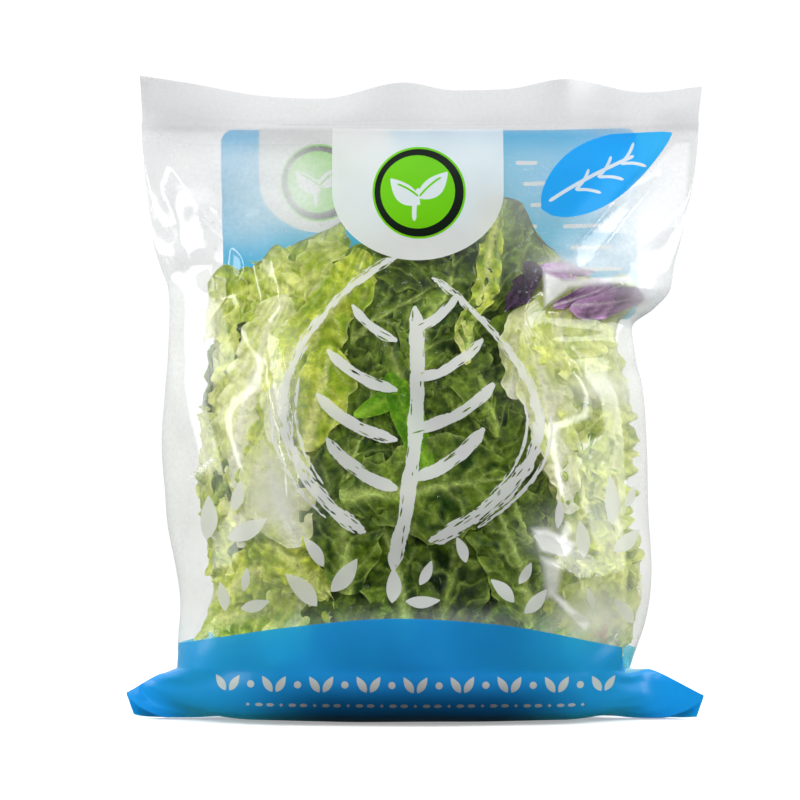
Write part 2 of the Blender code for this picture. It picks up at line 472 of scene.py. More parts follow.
def sample(grid, c, r):
    """Points of a grid at places between its columns and rows."""
    c = np.clip(c, 0, grid.shape[1] - 1.001)
    r = np.clip(r, 0, grid.shape[0] - 1.001)
    c0, r0 = c.astype(int), r.astype(int)
    fc, fr = (c - c0)[..., None], (r - r0)[..., None]
    low = blend(grid[r0, c0], grid[r0, c0 + 1], fc)
    high = blend(grid[r0 + 1, c0], grid[r0 + 1, c0 + 1], fc)
    return blend(low, high, fr)


def steps_at(sheet, c, r):
    """Steps of one cell to the right and up, at places of a sheet."""
    right = sample(sheet, c + 0.5, r) - sample(sheet, c - 0.5, r)
    return right, sample(sheet, c, r + 0.5) - sample(sheet, c, r - 0.5)


def locate(sheet, x, z):
    """The column and row of a sheet that lie at x and z, as seen from the front."""
    c = (x / 200 + 0.5) * WIDE
    r = FOOT_ROW + (z - WALL_FOOT) / WALL_HEIGHT * (len(sheet) - FOOT_ROW)
    for _ in range(30):
        here = sample(sheet, c, r)
        right, up = steps_at(sheet, c, r)
        miss_x, miss_z = x - here[..., 0], z - here[..., 2]
        scale = right[..., 0] * up[..., 2] - right[..., 2] * up[..., 0]
        scale = np.where(np.abs(scale) < 0.05, 0.05, scale)
        c = c + np.clip((miss_x * up[..., 2] - miss_z * up[..., 0]) / scale, -6, 6)
        r = r + np.clip((miss_z * right[..., 0] - miss_x * right[..., 2]) / scale, -6, 6)
        c, r = np.clip(c, 0.5, WIDE - 0.5), np.clip(r, 1, len(sheet) - 2)
    return c, r


# -------------------------------------------------------------------- shapes of the print
CLEAR, WHITE, BLUE, GREEN, DARK = range(5)
TAB_TOP = 236.0  # height where the white tabs start, under the seal
BADGE_AT, BADGE_RADIUS = (1.5, 210.5), 18.5


def arc(centre, radii, start, end, count=24):
    """Points of an ellipse's arc, in degrees from +X towards +Z."""
    turn = np.radians(np.linspace(start, end, count))
    return np.stack([centre[0] + radii[0] * np.cos(turn), centre[1] + radii[1] * np.sin(turn)], -1)


def turned(points, degrees, place):
    """Points turned clockwise and moved to a place."""
    turn = math.radians(degrees)
    spin = np.array([[math.cos(turn), -math.sin(turn)], [math.sin(turn), math.cos(turn)]])
    return points @ spin + place


def leaf_shape(place, length, width, degrees, bow=0.0):
    """A pointed leaf. At 0 degrees its tip points up."""
    s = np.linspace(0, 1, 15)
    half = width / 2 * np.sin(math.pi * s**0.85) ** 0.9
    spine = bow * length * np.sin(math.pi * s)
    right = np.stack([spine + half, (s - 0.5) * length], axis=-1)
    left = np.stack([spine - half, (s - 0.5) * length], axis=-1)[::-1]
    return turned(np.concatenate([right, left[1:-1]]), degrees, place)


def spine(points, spacing):
    """Evenly spaced points along a line, with its direction and left side at each."""
    line = evenly(points, spacing=spacing)
    along = unit(np.gradient(line, axis=0))
    return line, along, np.stack([-along[:, 1], along[:, 0]], axis=-1)


def ribbon(line, side, left, right):
    """The outline of a stroke that reaches left and right of its line."""
    return np.concatenate([line + side * left[:, None], (line - side * right[:, None])[::-1]])


def brush(points, width, seed, scratches=1.0, taper=0.0):
    """A rough chalky stroke along points: its outline, and scratches through it. taper
    is how much thinner it ends than it starts."""
    rng = np.random.default_rng(seed)
    line, along, side = spine(points, 0.7)
    s = np.linspace(0, 1, len(line))
    half = width / 2 * np.clip(np.minimum(s, 1 - s) * len(line) / 9 + 0.25, 0, 1)
    half *= 1 - taper * s
    rough = rng.uniform(-1, 1, (2, len(line) + 12))
    slow = np.array([np.convolve(row, np.ones(9) / 9, "same")[6:-6] for row in rough])
    jags = width * (0.26 * slow + 0.055 * rough[:, 6:-6]) * min(1, 0.4 + scratches)
    shapes = [(WHITE, ribbon(line, side, half + jags[0], half + jags[1]))]
    for _ in range(int(len(line) * 0.42 * scratches)):
        at = rng.integers(3, len(line) - 3)
        off = rng.uniform(-1, 1)
        turn = math.degrees(math.atan2(along[at, 0], along[at, 1])) + rng.uniform(-5, 5)
        place = line[at] + side[at] * half[at] * math.copysign(abs(off) ** 0.45, off)
        length = rng.uniform(1.2, 6.0)
        shapes.append((CLEAR, leaf_shape(place, length, rng.uniform(0.3, 0.8), turn)))
    return shapes


def stroke(points, width):
    """A clean stroke with round ends."""
    line, _, side = spine(points, 1.0)
    s = np.linspace(0, 1, len(line)) * np.linalg.norm(np.diff(line, axis=0), axis=1).sum()
    near_end = np.clip(np.minimum(s, s[-1] - s) / (width / 2), 0, 1)
    half = width / 2 * np.sqrt(1 - (1 - near_end) ** 2) + 0.15
    return [(WHITE, ribbon(line, side, half, half))]


def curved(start, end, bow, count=14):
    """A bowed line between two points. bow is its height as a share of its length."""
    start, end = np.array(start, float), np.array(end, float)
    s = np.linspace(0, 1, count)[:, None]
    side = np.array([-(end - start)[1], (end - start)[0]])
    return start + (end - start) * s + side * bow * 4 * s * (1 - s)


def tab(middle, half_width, sides, foot):
    """The white tab that hangs from the top seal. Its round foot starts at the height
    sides and ends at the height foot."""
    foot = arc((middle, sides), (half_width, sides - foot), 180, 360, 40)
    top = [(middle + half_width, TAB_TOP), (middle - half_width, TAB_TOP)]
    return [(WHITE, np.concatenate([foot, top]))]


def disc(centre, radius):
    return arc(centre, (radius, radius), 0, 354, 60)


def badge(place, radius):
    """A round green badge with a sprig of two leaves."""
    x, z = place
    shapes = [
        (GREEN, disc(place, radius)),
        (DARK, disc(place, radius * 0.955)),
        (GREEN, disc((x - radius * 0.03, z + radius * 0.02), radius * 0.8)),
    ]
    shapes += stroke(curved((x - radius * 0.1, z - radius * 0.62), (x, z + radius * 0.1), 0.06), 1.5)
    for side in (-1, 1):
        at = (x + side * radius * 0.3, z + radius * (0.16 if side > 0 else 0.02))
        shapes.append((WHITE, leaf_shape(at, radius * 0.86, radius * 0.42, side * 48, side * 0.05)))
        vein = curved((x, z - radius * 0.1), (at[0] + side * 3.4, at[1] + 3.2), side * 0.05)
        shapes += [(GREEN, stroke(vein, 0.55)[0][1])]
    return shapes


EMBLEM_AT = (-4.0, 128.0)  # middle of the brushed leaf on the front
EMBLEM_HALF = (50.0, 57.0)


def emblem():
    """A large leaf drawn with a dry brush: two outlines, a midrib and side veins."""
    x, z = EMBLEM_AT
    wide, tall = EMBLEM_HALF
    shapes = []
    s = np.linspace(0.0, 1.0, 60)
    for side, first, last, seed in ((-1, 0.05, 1.0, 11), (1, 0.02, 0.93, 12)):
        t = first + (last - first) * s
        bulge = wide * np.sin(math.pi * t**0.86) ** 0.78
        line = np.stack([x + side * bulge + 3 * np.sin(5 * t), z - tall + 2 * tall * t], axis=-1)
        shapes += brush(line, 5.8, seed, 1.2, 0.55)
        shapes += brush(line[4:30] + (side * 4.9, -1.8), 1.6, seed + 20, 0.8)
        shapes += brush(line[10:34] - (side * 4.6, -0.5), 1.3, seed + 30, 0.8)
    shapes += brush(curved((x - 5, z - tall - 9), (x + 4, z + tall * 0.66), -0.04), 5.6, 15, 0.35)
    for k in range(4):
        low = z - tall * 0.60 + k * tall * 0.34
        reach = wide * (0.62, 0.70, 0.62, 0.42)[k]
        for side in (-1, 1):
            start = (x + side * 3.0, low + (side > 0) * 4)
            end = (x + side * reach, low + 20 - 2 * k + (side > 0) * 4)
            shapes += brush(curved(start, end, -side * 0.09), 4.9 - 0.4 * k, 40 + 2 * k + side, 0.3)
    return shapes


# Small leaves over the lower part of the front: place, length, width and turn.
SMALL_LEAVES = (
    ((-82, 82), 18, 7.2, 4),
    ((-70, 91), 13, 5.0, 14),
    ((-66, 78), 18, 7.0, 62),
    ((-40, 69), 14, 5.0, -34),
    ((-28, 60), 17, 6.8, 38),
    ((-45, 54), 18, 7.2, -44),
    ((-67, 58), 10, 3.4, 8),
    ((-76, 51), 12, 4.6, -10),
    ((-63, 48), 12, 4.8, 74),
    ((-9, 56), 14, 6.0, 2),
    ((4, 61), 11, 4.2, 26),
    ((3, 50), 14, 4.8, 88),
    ((34, 54), 13, 5.2, -46),
    ((43, 61), 10, 3.8, 30),
    ((47, 50), 13, 5.2, 42),
    ((52, 72), 14, 5.6, -58),
    ((65, 74), 15, 5.4, -6),
    ((56, 84), 12, 3.4, 3),
    ((77, 89), 20, 6.2, -2),
    ((85, 90), 9, 3.6, 24),
    ((83, 73), 14, 6.0, 54),
    ((64, 43), 7, 3.4, -70),
    ((68, 51), 10, 3.0, -22),
    ((82, 45), 13, 5.0, -38),
    ((18, 70), 11, 4.4, -20),
)


def scattered_leaves():
    return [(WHITE, leaf_shape(place, long, wide, turn, 0.04))
            for place, long, wide, turn in SMALL_LEAVES]


def blue_leaf():
    """A plain blue leaf with a pale midrib near the top right corner."""
    tip, stem = np.array((102.0, 233.0)), np.array((50.0, 204.0))
    s = np.linspace(0, 1, 24)[:, None]
    side = np.array([-(tip - stem)[1], (tip - stem)[0]]) / np.linalg.norm(tip - stem)
    spine = stem + (tip - stem) * s
    upper = spine + side * 14.5 * np.sin(math.pi * s**0.8) ** 0.8
    lower = spine - side * 11.5 * np.sin(math.pi * s**0.75) ** 0.8
    upper[:, 1] = np.minimum(upper[:, 1], 233.5)
    shapes = [(BLUE, np.concatenate([upper, lower[::-1][1:-1]]))]
    shapes += stroke(curved(stem + (3, 3), tip - (15, 8.5), 0.03), 1.1)
    for k in range(3):
        at = stem + (tip - stem) * (0.26 + 0.17 * k)
        shapes += stroke(curved(at, at + (5.5, 8.5), -0.08), 0.9)
        shapes += stroke(curved(at, at + (10.5, -1.5), 0.08), 0.9)
    return shapes


def band_ornament():
    """Two rows of small ornaments on the blue band."""
    shapes = []
    for k in range(17):
        x = -74 + 148 * k / 16
        if k % 2:
            shapes.append((WHITE, arc((x, 16.8), (1.5, 1.5), 0, 330, 14)))
        else:
            for side in (-1, 1):
                shapes.append((WHITE, leaf_shape((x + side * 2.7, 17), 7.4, 3.1, side * 32)))
    for k in range(31):
        x = -66 + 132 * k / 30
        wide = 1.7 if k % 3 else 0.8
        shapes.append((WHITE, arc((x, 8.6), (wide, 0.75), 0, 340, 12)))
    return shapes


# The blue band's upper edge on the front and on the back: place and height.
BAND_EDGE = ((-97, 31), (-76, 35), (-50, 39.2), (-7, 43), (33, 40.6), (83, 30.6), (97, 28))
BAND_END = 81.5  # where the band ends at the right, beside a clear strip
BAND_END_FOOT = 20.5  # below this height the clear strip ends and all is blue


def band(sheet, ends_early):
    """The blue band's outline in columns and rows of a sheet, down to the bottom seal."""
    outline = []
    for column in range(0, WIDE + 1, 2):
        x, z = sheet[:, column, 0], sheet[:, column, 2]
        edge = curve(BAND_EDGE, x)[0]
        if ends_early:
            edge = np.where(x > BAND_END, BAND_END_FOOT, edge)
        start = FOOT_ROW - 12
        row = start + int(np.argmax(z[start:] >= edge[start:]))
        gap = (z - edge)[row - 1 : row + 1]
        outline.append((column, row - 1 + gap[0] / min(gap[0] - gap[1], -1e-6)))
    return np.array(outline + [(WIDE, 0.0), (0.0, 0.0)])


def round_corners(low, high, radius):
    """A rectangle with round corners."""
    corners = []
    for (x, z), start in (
        ((high[0] - radius, low[1] + radius), -90),
        ((high[0] - radius, high[1] - radius), 0),
        ((low[0] + radius, high[1] - radius), 90),
        ((low[0] + radius, low[1] + radius), 180),
    ):
        corners.append(arc((x, z), (radius, radius), start, start + 90, 7))
    return np.concatenate(corners)


def front_print():
    shapes = tab(1.0, 34.0, 211.0, 183.5) + badge(BADGE_AT, BADGE_RADIUS) + emblem()
    return shapes + blue_leaf() + scattered_leaves() + band_ornament()


BACK_PANEL = ((-77, 160), (88, 235.5))  # low and high corners of the blue panel
BACK_TAB = -36.0


def back_print():
    """A blue panel with a white tab, a badge and rows of plain bars."""
    low, high = BACK_PANEL
    shapes = [(BLUE, round_corners(low, high, 5.0))]
    shapes += tab(BACK_TAB, 26.0, 215.0, 194.5) + badge((BACK_TAB - 2, 214.5), 15.5)
    for row in range(7):
        z = 222 - 8.5 * row
        for k, wide in enumerate((14, 9, 17)):
            x = 18 + (0, 22, 41)[k] + 3 * ((row * 7 + k * 3) % 3)
            shapes.append((WHITE, round_corners((x, z), (x + wide, z + 1.6), 0.7)))
    shapes.append((WHITE, round_corners((10, 112), (76, 150), 2.0)))
    for row in range(5):
        shapes.append((BLUE, round_corners((14, 117 + 6.4 * row), (72, 118.1 + 6.4 * row), 0.5)))
    for k in range(5):
        place = (-62 + 14 * k, 130 + 9 * (k % 2))
        shapes.append((WHITE, leaf_shape(place, 13, 5.6, -40 + 22 * k, 0.04)))
    for k in range(12):
        x = -78 + 156 * ((k * 0.618 + 0.4) % 1)
        place = (x, 52 + 36 * ((k * 0.7549 + 0.7) % 1))
        shapes.append((WHITE, leaf_shape(place, 14, 5.8, -60 + 120 * ((k * 0.57) % 1), 0.04)))
    return shapes


# ----------------------------------------------------------------------------- materials
class Tree:
    """The nodes of a new material or world. Each method gives the new node's output."""

    def __init__(self, owner):
        owner.use_nodes = True
        self.owner, self.tree = owner, owner.node_tree
        self.tree.nodes.clear()

    def add(self, kind, values=None, output=0, **settings):
        node = self.tree.nodes.new("ShaderNode" + kind)
        for key, value in settings.items():
            setattr(node, key, value)
        for key, value in (values or {}).items():
            if isinstance(value, bpy.types.NodeSocket):
                self.tree.links.new(value, node.inputs[key])
            else:
                node.inputs[key].default_value = value
        return node.outputs[output] if node.outputs else None

    def math(self, operation, *values, **settings):
        return self.add("Math", dict(enumerate(values)), operation=operation, **settings)

    def scaled(self, vector, scale):
        return self.add("VectorMath", {0: vector, "Scale": scale}, operation="SCALE")

    def ranged(self, value, low, high, to_low, to_high):
        return self.add("MapRange", {"Value": value, "From Min": low, "From Max": high,
                                     "To Min": to_low, "To Max": to_high})

    def place(self):
        return self.add("TexCoord", output="Object")

    def noise(self, scale, detail, roughness):
        return self.add("TexNoise", {"Vector": self.place(), "Scale": scale,
                                     "Detail": detail, "Roughness": roughness})

    def attribute(self, name, output="Fac"):
        return self.add("Attribute", output=output, attribute_name=name)

    def mixed(self, share, first, second):
        return self.add("MixShader", {0: share, 1: first, 2: second})

    def finished(self, surface, kind="OutputMaterial"):
        self.add(kind, {"Surface": surface})
        return self.owner


def new_material(name):
    return Tree(bpy.data.materials.new(name))


def mirror_share(tree, straight, normal=None):
    """How much a thin sheet mirrors: the share straight on, more at a glance."""
    values = {"Blend": 0.5} | ({"Normal": normal} if normal else {})
    glance = tree.math("POWER", tree.add("LayerWeight", values, "Facing"), 5.0)
    return tree.math("MULTIPLY_ADD", glance, 0.85 - straight, straight)


def film_bump(tree):
    """The film's faint crinkle, finer than its mesh."""
    height = tree.math("SUBTRACT", 1.0, tree.attribute("dull"))
    height = tree.math("MULTIPLY", tree.noise(160.0, 2.0, 0.5), height)
    return tree.add("Bump", {"Strength": 0.12, "Distance": 0.0004, "Height": height})


def clear_film():
    """Clear glossy film, made white where an attribute says: partly mist, partly painted highlights.
    """
    tree = new_material("clear_film")
    normal = film_bump(tree)
    mist_and_glare_amount, dull = tree.attribute("mist_and_glare"), tree.attribute("dull")
    drift = tree.ranged(tree.noise(30.0, 3.0, 0.5), 0.25, 0.75, 0.82, 1.18)
    speckle = tree.ranged(tree.noise(600.0, 2.0, 0.6), 0.3, 0.7, 0.92, 1.08)
    uneven = tree.math("MULTIPLY", drift, speckle)
    share = tree.math("MULTIPLY", mist_and_glare_amount, uneven, use_clamp=True)
    see = tree.add("BsdfTransparent", {"Color": (0.955, 0.958, 0.962, 1)})
    # Whiter still where the attribute is high, so that the painted highlights come out bright.
    mist_and_glare_level = tree.ranged(mist_and_glare_amount, 0.5, 0.85, 0.80, 0.97)
    level = tree.math("MULTIPLY_ADD", dull, -0.27, mist_and_glare_level)
    white = tree.add("BsdfDiffuse", {"Color": tree.scaled((1.0, 1.005, 1.01), level)})
    glow = tree.add("BsdfTranslucent", {"Color": (0.86, 0.87, 0.88, 1)})
    body = tree.mixed(share, see, tree.mixed(0.25, white, glow))
    rough = tree.math("MULTIPLY_ADD", dull, 0.32, 0.10)
    values = {"Color": (1, 1, 1, 1), "Roughness": rough, "Normal": normal}
    gloss = tree.add("BsdfGlossy", values)
    return tree.finished(tree.mixed(mirror_share(tree, 0.06, normal), body, gloss))


def ink(name, colour, through, glow_share, see_share=0.0):
    """Print on the film: glossy, by glow_share lit through from behind in the colour
    through, and by see_share see-through. Where the foot attribute says, it is darker and
    lets less light through, as painted shade on the underside."""
    tree = new_material(name)
    tone = tree.ranged(tree.noise(35.0, 5.0, 0.6), 0.3, 0.7, 0.94, 1.04)
    foot = tree.attribute("foot")
    # Painted shade: the foot attribute darkens the ink towards the underside.
    depth = tree.math("MULTIPLY_ADD", foot, -0.7, 1.0)
    deep = tree.scaled(tree.scaled(colour, tone), depth)
    values = {"Base Color": deep, "Roughness": 0.22, "IOR": 1.5, "Normal": film_bump(tree)}
    front = tree.add("BsdfPrincipled", values)
    # Painted shade: the foot attribute also dims the light that comes through the ink there.
    through_dimmed_by_painted_shade = tree.scaled(through, tree.math("MULTIPLY_ADD", foot, -0.9, 1.0))
    lit_from_behind = tree.add("BsdfTranslucent", {"Color": through_dimmed_by_painted_shade})
    solid = tree.mixed(glow_share, front, lit_from_behind)
    see = tree.add("BsdfTransparent", {"Color": through_dimmed_by_painted_shade})
    return tree.finished(tree.mixed(1 - see_share, see, solid))


def leaf_material(name, roughness, through, glow, net):
    """A moist leaf: its colour comes from the tint attribute, with a net of fine veins,
    and light shines through."""
    tree = new_material(name)
    fine = tree.noise(420.0, 4.0, 0.65)
    bent = tree.scaled(fine.node.outputs["Color"], 0.004)
    moved = tree.add("VectorMath", {0: tree.place(), 1: bent}, operation="ADD")
    cells = tree.add("TexVoronoi", {"Vector": moved, "Scale": 140.0}, "Distance",
                     feature="DISTANCE_TO_EDGE")
    line = tree.ranged(cells, 0.0, 0.08, net, 0.0)
    spread = 0.12 + 0.7 * net
    tone = tree.ranged(fine, 0.3, 0.7, 1 - spread, 1 + spread)
    colour = tree.scaled(tree.attribute("tint", "Color"), tree.math("ADD", tone, line))
    pucker = tree.math("ADD", cells, fine)
    bump = tree.add("Bump", {"Strength": 0.75, "Distance": 0.0010, "Height": pucker})
    body = tree.add("BsdfPrincipled", {"Base Color": colour, "Roughness": roughness,
                                       "IOR": 1.36, "Normal": bump})
    lit = tree.add("VectorMath", {0: colour, 1: glow}, operation="MULTIPLY")
    shine = tree.add("BsdfTranslucent", {"Color": lit, "Normal": bump})
    return tree.finished(tree.mixed(through, body, shine))


def water_material():
    tree = new_material("water")
    see = tree.add("BsdfTransparent", {"Color": (0.97, 0.98, 0.98, 1)})
    gloss = tree.add("BsdfGlossy", {"Color": (1, 1, 1, 1), "Roughness": 0.03})
    return tree.finished(tree.mixed(mirror_share(tree, 0.05), see, gloss))


# ---------------------------------------------------------------------- making the pieces
def mesh_piece(name, points, faces, material, slot, normals=None, attributes=()):
    """A mesh piece from points in millimetres, which stands for part of the bag."""
    mesh = bpy.data.meshes.new(name)
    mesh.from_pydata((np.asarray(points) * MM).tolist(), [], [list(map(int, f)) for f in faces])
    for label, values in attributes:
        values = np.asarray(values, np.float32)
        kind = "FLOAT" if values.ndim == 1 else "FLOAT_COLOR"
        made = mesh.attributes.new(label, kind, "POINT")
        if values.ndim == 1:
            made.data.foreach_set("value", values)
        else:
            with_alpha = np.concatenate([values, np.ones((len(values), 1), np.float32)], axis=1)
            made.data.foreach_set("color", with_alpha.ravel())
    mesh.materials.append(material)
    mesh.shade_smooth()
    if normals is not None:
        mesh.normals_split_custom_set_from_vertices(normals.tolist())
    piece = bpy.data.objects.new(name, mesh)
    bpy.context.scene.collection.objects.link(piece)
    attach(piece, "root")
    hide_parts(NODE)
    return piece


INKS = (
    ("film_clear", "clear_film", "film"),
    ("white_print", "white_ink", "white_ink"),
    ("blue_print", "blue_ink", "blue_ink"),
    ("badge_green", "green_ink", "green_ink"),
    ("badge_dark", "dark_ink", "green_ink"),
)


def mist_and_glare_at(points, back):
    """How white the film is: mist, most at the flanks and over the empty top, and on the front
    painted highlights in the creases.
    """
    x, z = points[:, 0], points[:, 2]
    if back:
        return 0.08 + 0.15 * smoothstep(60, 95, np.abs(x)) + 0.35 * smoothstep(233, 238, z)
    mist_and_glare = np.zeros(len(points))
    for place, size, amount in MIST_AND_GLARE:
        mist_and_glare += amount * blob(x, z, place, size)
    mist_and_glare += 0.35 * smoothstep(233, 238, z)
    for corners, soft, amount in PAINTED_GLARE:
        mist_and_glare = np.maximum(mist_and_glare, amount * glare_patch(x, z, corners, soft))
    return np.clip(mist_and_glare, 0, 0.9)


def dull_at(points):
    """How much the film has lost its gloss and crinkle, which is in the top seal."""
    return smoothstep(SEAL_BASE - 14, SEAL_BASE + 2, points[:, 2])


def painted_underside_shade_at(points):
    """Painted shade on the underside: how near the full bottom a point is, where the ink is made
    darker and lets almost no light through.
    """
    x, z = points[:, 0], points[:, 2]
    return smoothstep(22, 8, z) * smoothstep(80, 30, np.abs(x))


# Mist on the front, and painted highlights where the film would catch the light: place, size and how
# white it is.
MIST_AND_GLARE = (
    ((-96, 130), (12, 90), 0.50),
    ((-64, 108), (14, 24), 0.16),
    ((-55, 90), (12, 13), 0.38),
    ((-50, 128), (6, 34), 0.22),
    ((-66, 222), (30, 20), 0.50),
    ((-44, 204), (16, 12), 0.20),
    ((-41, 215), (17, 17), 0.26),
    ((-69, 199), (14, 12), 0.32),
    ((96, 130), (12, 90), 0.40),
    ((72, 133), (20, 7), 0.42),
    ((76, 150), (20, 44), 0.10),
    ((62, 76), (15, 10), 0.40),
    ((-62, 52), (18, 14), 0.14),
    ((64, 182), (14, 4), 0.45),
    ((68, 188), (13, 5), 0.30),
    ((50, 216), (30, 24), 0.30),
    ((88, 205), (17, 32), 0.72),
    ((91, 163), (7, 9), 0.35),
    ((20, 41), (34, 5), 0.22),
    ((-24, 39), (20, 5), 0.22),
    ((74, 43), (17, 15), 0.62),
)
# Painted highlights in the creases of the front film, as white patches: corners going clockwise,
# softness and strength.
PAINTED_GLARE = (
    (((50, 181), (62, 176), (62, 172), (50, 163)), 2.2, 0.90),
    (((56, 177.5), (88, 180), (88, 173.5), (56, 171)), 3.0, 0.90),
    (((103, 233), (112, 233), (110, 196), (89, 191), (68, 194)), 3.0, 0.86),
    (((41, 86), (52, 80.5), (68, 82), (70, 75), (60, 65), (48, 68)), 3.6, 0.90),
    (((47, 70), (60, 67), (58, 49), (50, 49)), 4.0, 0.72),
    (((49, 54), (57, 54), (73, 40), (67, 34)), 3.4, 0.85),
    (((-91, 97.5), (-80, 106.5), (-79, 105), (-90, 95.5)), 0.6, 0.80),
)


def glare_patch(x, z, corners, soft):
    """1 inside a convex outline, falling to 0 at its edge over a soft border."""
    inside = np.full(x.shape, 1e9)
    for (x0, z0), (x1, z1) in zip(corners, corners[1:] + corners[:1], strict=True):
        across = (x - x0) * (z1 - z0) - (z - z0) * (x1 - x0)
        inside = np.minimum(inside, across / math.hypot(x1 - x0, z1 - z0))
    return smoothstep(0, soft, inside)


def within(outline, spots):
    """Which spots lie inside an outline."""
    near = ((spots > outline.min(axis=0)) & (spots < outline.max(axis=0))).all(axis=1)
    chosen = np.flatnonzero(near)
    x, y = spots[chosen, 0][:, None], spots[chosen, 1][:, None]
    x0, y0 = outline[:, 0], outline[:, 1]
    x1, y1 = np.roll(x0, -1), np.roll(y0, -1)
    rise = np.where(y1 == y0, 1e-9, y1 - y0)
    crossed = ((y0 > y) != (y1 > y)) & (x < x0 + (y - y0) / rise * (x1 - x0))
    return chosen[crossed.sum(axis=1) % 2 == 1]


def film_pieces(film, target, shapes, back, materials):
    """Cuts the print into one sheet of film and makes a piece of each ink."""
    sheet, flat = sheet_of(film, back), sheet_of(target, back)
    rows, columns = sheet.shape[:2]
    c, r = np.meshgrid(np.arange(columns), np.arange(rows))
    places = np.stack([c.ravel(), r.ravel()], axis=-1).astype(float)
    outlines, inks = [band(flat, not back)], [BLUE]
    for colour, outline in shapes:
        closed = evenly(np.vstack([outline, outline[:1]]), spacing=1.0)[:-1]
        outlines.append(np.stack(locate(flat, closed[:, 0], closed[:, 1]), axis=-1))
        inks.append(colour)
    edges, at = [], len(places)
    for outline in outlines:
        loop = np.arange(at, at + len(outline))
        edges += np.stack([loop, np.roll(loop, -1)], axis=-1).tolist()
        at += len(outline)
    flat_points = [Vector(p) for p in np.concatenate([places, *outlines]).tolist()]
    spots, _, faces, *_ = delaunay_2d_cdt(flat_points, edges, [], 0, 1e-4, False)
    spots, faces = np.array(spots), np.array(faces)
    middles = spots[faces].mean(axis=1)
    colours = np.full(len(faces), CLEAR)
    for colour, outline in zip(inks, outlines, strict=True):
        colours[within(outline, middles)] = colour
    points = sample(sheet, spots[:, 0], spots[:, 1])
    corners = points[faces]
    facing = np.cross(corners[:, 1] - corners[:, 0], corners[:, 2] - corners[:, 0])
    kept = np.linalg.norm(facing, axis=1) > 1e-5
    faces, colours, facing = faces[kept], colours[kept], facing[kept]
    if back:
        faces, facing = faces[:, ::-1], -facing
    normals = np.zeros_like(points)
    for k in range(3):
        np.add.at(normals, faces[:, k], facing)
    normals = unit(normals)
    side = "back" if back else "front"
    # The foot attribute is painted shade on the underside of the bag.
    looks = {"mist_and_glare": mist_and_glare_at(points, back), "dull": dull_at(points), "foot": painted_underside_shade_at(points)}
    for colour, (label, material, slot) in enumerate(INKS):
        chosen = faces[colours == colour]
        if not len(chosen):
            continue
        used, renumbered = np.unique(chosen, return_inverse=True)
        mesh_piece(f"{label}_{side}", points[used], renumbered.reshape(-1, 3),
                   materials[material], slot, normals[used],
                   [(name, values[used]) for name, values in looks.items()])


# ------------------------------------------------------------------------------- leaves
def grain(x, y, seed):
    """Smooth noise between -1 and 1 at places of a plane."""
    table = np.random.default_rng(seed).uniform(-1, 1, (64, 64))
    x0, y0 = np.floor(x).astype(int), np.floor(y).astype(int)
    fx, fy = x - x0, y - y0
    fx, fy = fx * fx * (3 - 2 * fx), fy * fy * (3 - 2 * fy)
    a, b = table[y0 % 64, x0 % 64], table[y0 % 64, (x0 + 1) % 64]
    c, d = table[(y0 + 1) % 64, x0 % 64], table[(y0 + 1) % 64, (x0 + 1) % 64]
    return blend(blend(a, b, fx), blend(c, d, fx), fy)


def spun(across, along, degrees):
    """x and z of places across and along an axis that is turned clockwise from +Z."""
    turn = math.radians(degrees)
    x = across * math.cos(turn) + along * math.sin(turn)
    return x, along * math.cos(turn) - across * math.sin(turn)


def quads(rows, columns, closed=False):
    """The faces of a grid of points. A closed one runs on from its last column to its first."""
    index = np.arange(rows * columns).reshape(rows, columns)
    after = np.roll(index, -1, axis=1)
    faces = np.stack([index[:-1], after[:-1], after[1:], index[1:]], axis=-1)
    return (faces if closed else faces[:, :-1]).reshape(-1, 4)


def lids(rows, columns):
    """The two end faces of a closed grid."""
    last = (rows - 1) * columns
    return [list(range(columns))[::-1], list(range(last, last + columns))]


class Kind:
    """What a kind of leaf looks like. Colours are linear, lengths are millimetres."""

    def __init__(self, dark, light, rib, ruffle, crinkle, veins, fan, rib_width):
        self.dark, self.light, self.rib = map(np.array, (dark, light, rib))
        self.ruffle, self.crinkle, self.veins = ruffle, crinkle, veins
        self.fan, self.rib_width = fan, rib_width


KINDS = {
    "dark": Kind((0.004, 0.017, 0.001), (0.122, 0.202, 0.015), (0.34, 0.46, 0.08),
                 1.6, 0.9, 7, 0.0, 1.8),
    "green": Kind((0.014, 0.048, 0.002), (0.195, 0.300, 0.026), (0.46, 0.58, 0.14),
                  2.2, 0.9, 7, 0.1, 2.0),
    "bright": Kind((0.055, 0.200, 0.002), (0.150, 0.360, 0.006), (0.28, 0.50, 0.03),
                   1.0, 0.4, 6, 0.1, 1.5),
    "lime": Kind((0.22, 0.36, 0.010), (0.72, 0.78, 0.08), (0.88, 0.90, 0.34),
                 3.2, 1.0, 7, 0.4, 2.4),
    "pale": Kind((0.46, 0.58, 0.03), (0.94, 0.96, 0.33), (0.96, 0.96, 0.58),
                 3.6, 1.1, 7, 0.8, 3.0),
    "cream": Kind((0.70, 0.78, 0.22), (0.96, 0.96, 0.58), (0.97, 0.97, 0.80),
                  1.6, 0.7, 5, 0.9, 4.0),
    "plum": Kind((0.004, 0.002, 0.005), (0.030, 0.010, 0.034), (0.10, 0.045, 0.11),
                 3.0, 1.6, 5, 0.5, 0.4),
    "red": Kind((0.11, 0.02, 0.12), (0.66, 0.34, 0.70), (0.85, 0.70, 0.86),
                1.6, 1.3, 7, 0.9, 0.6),
}


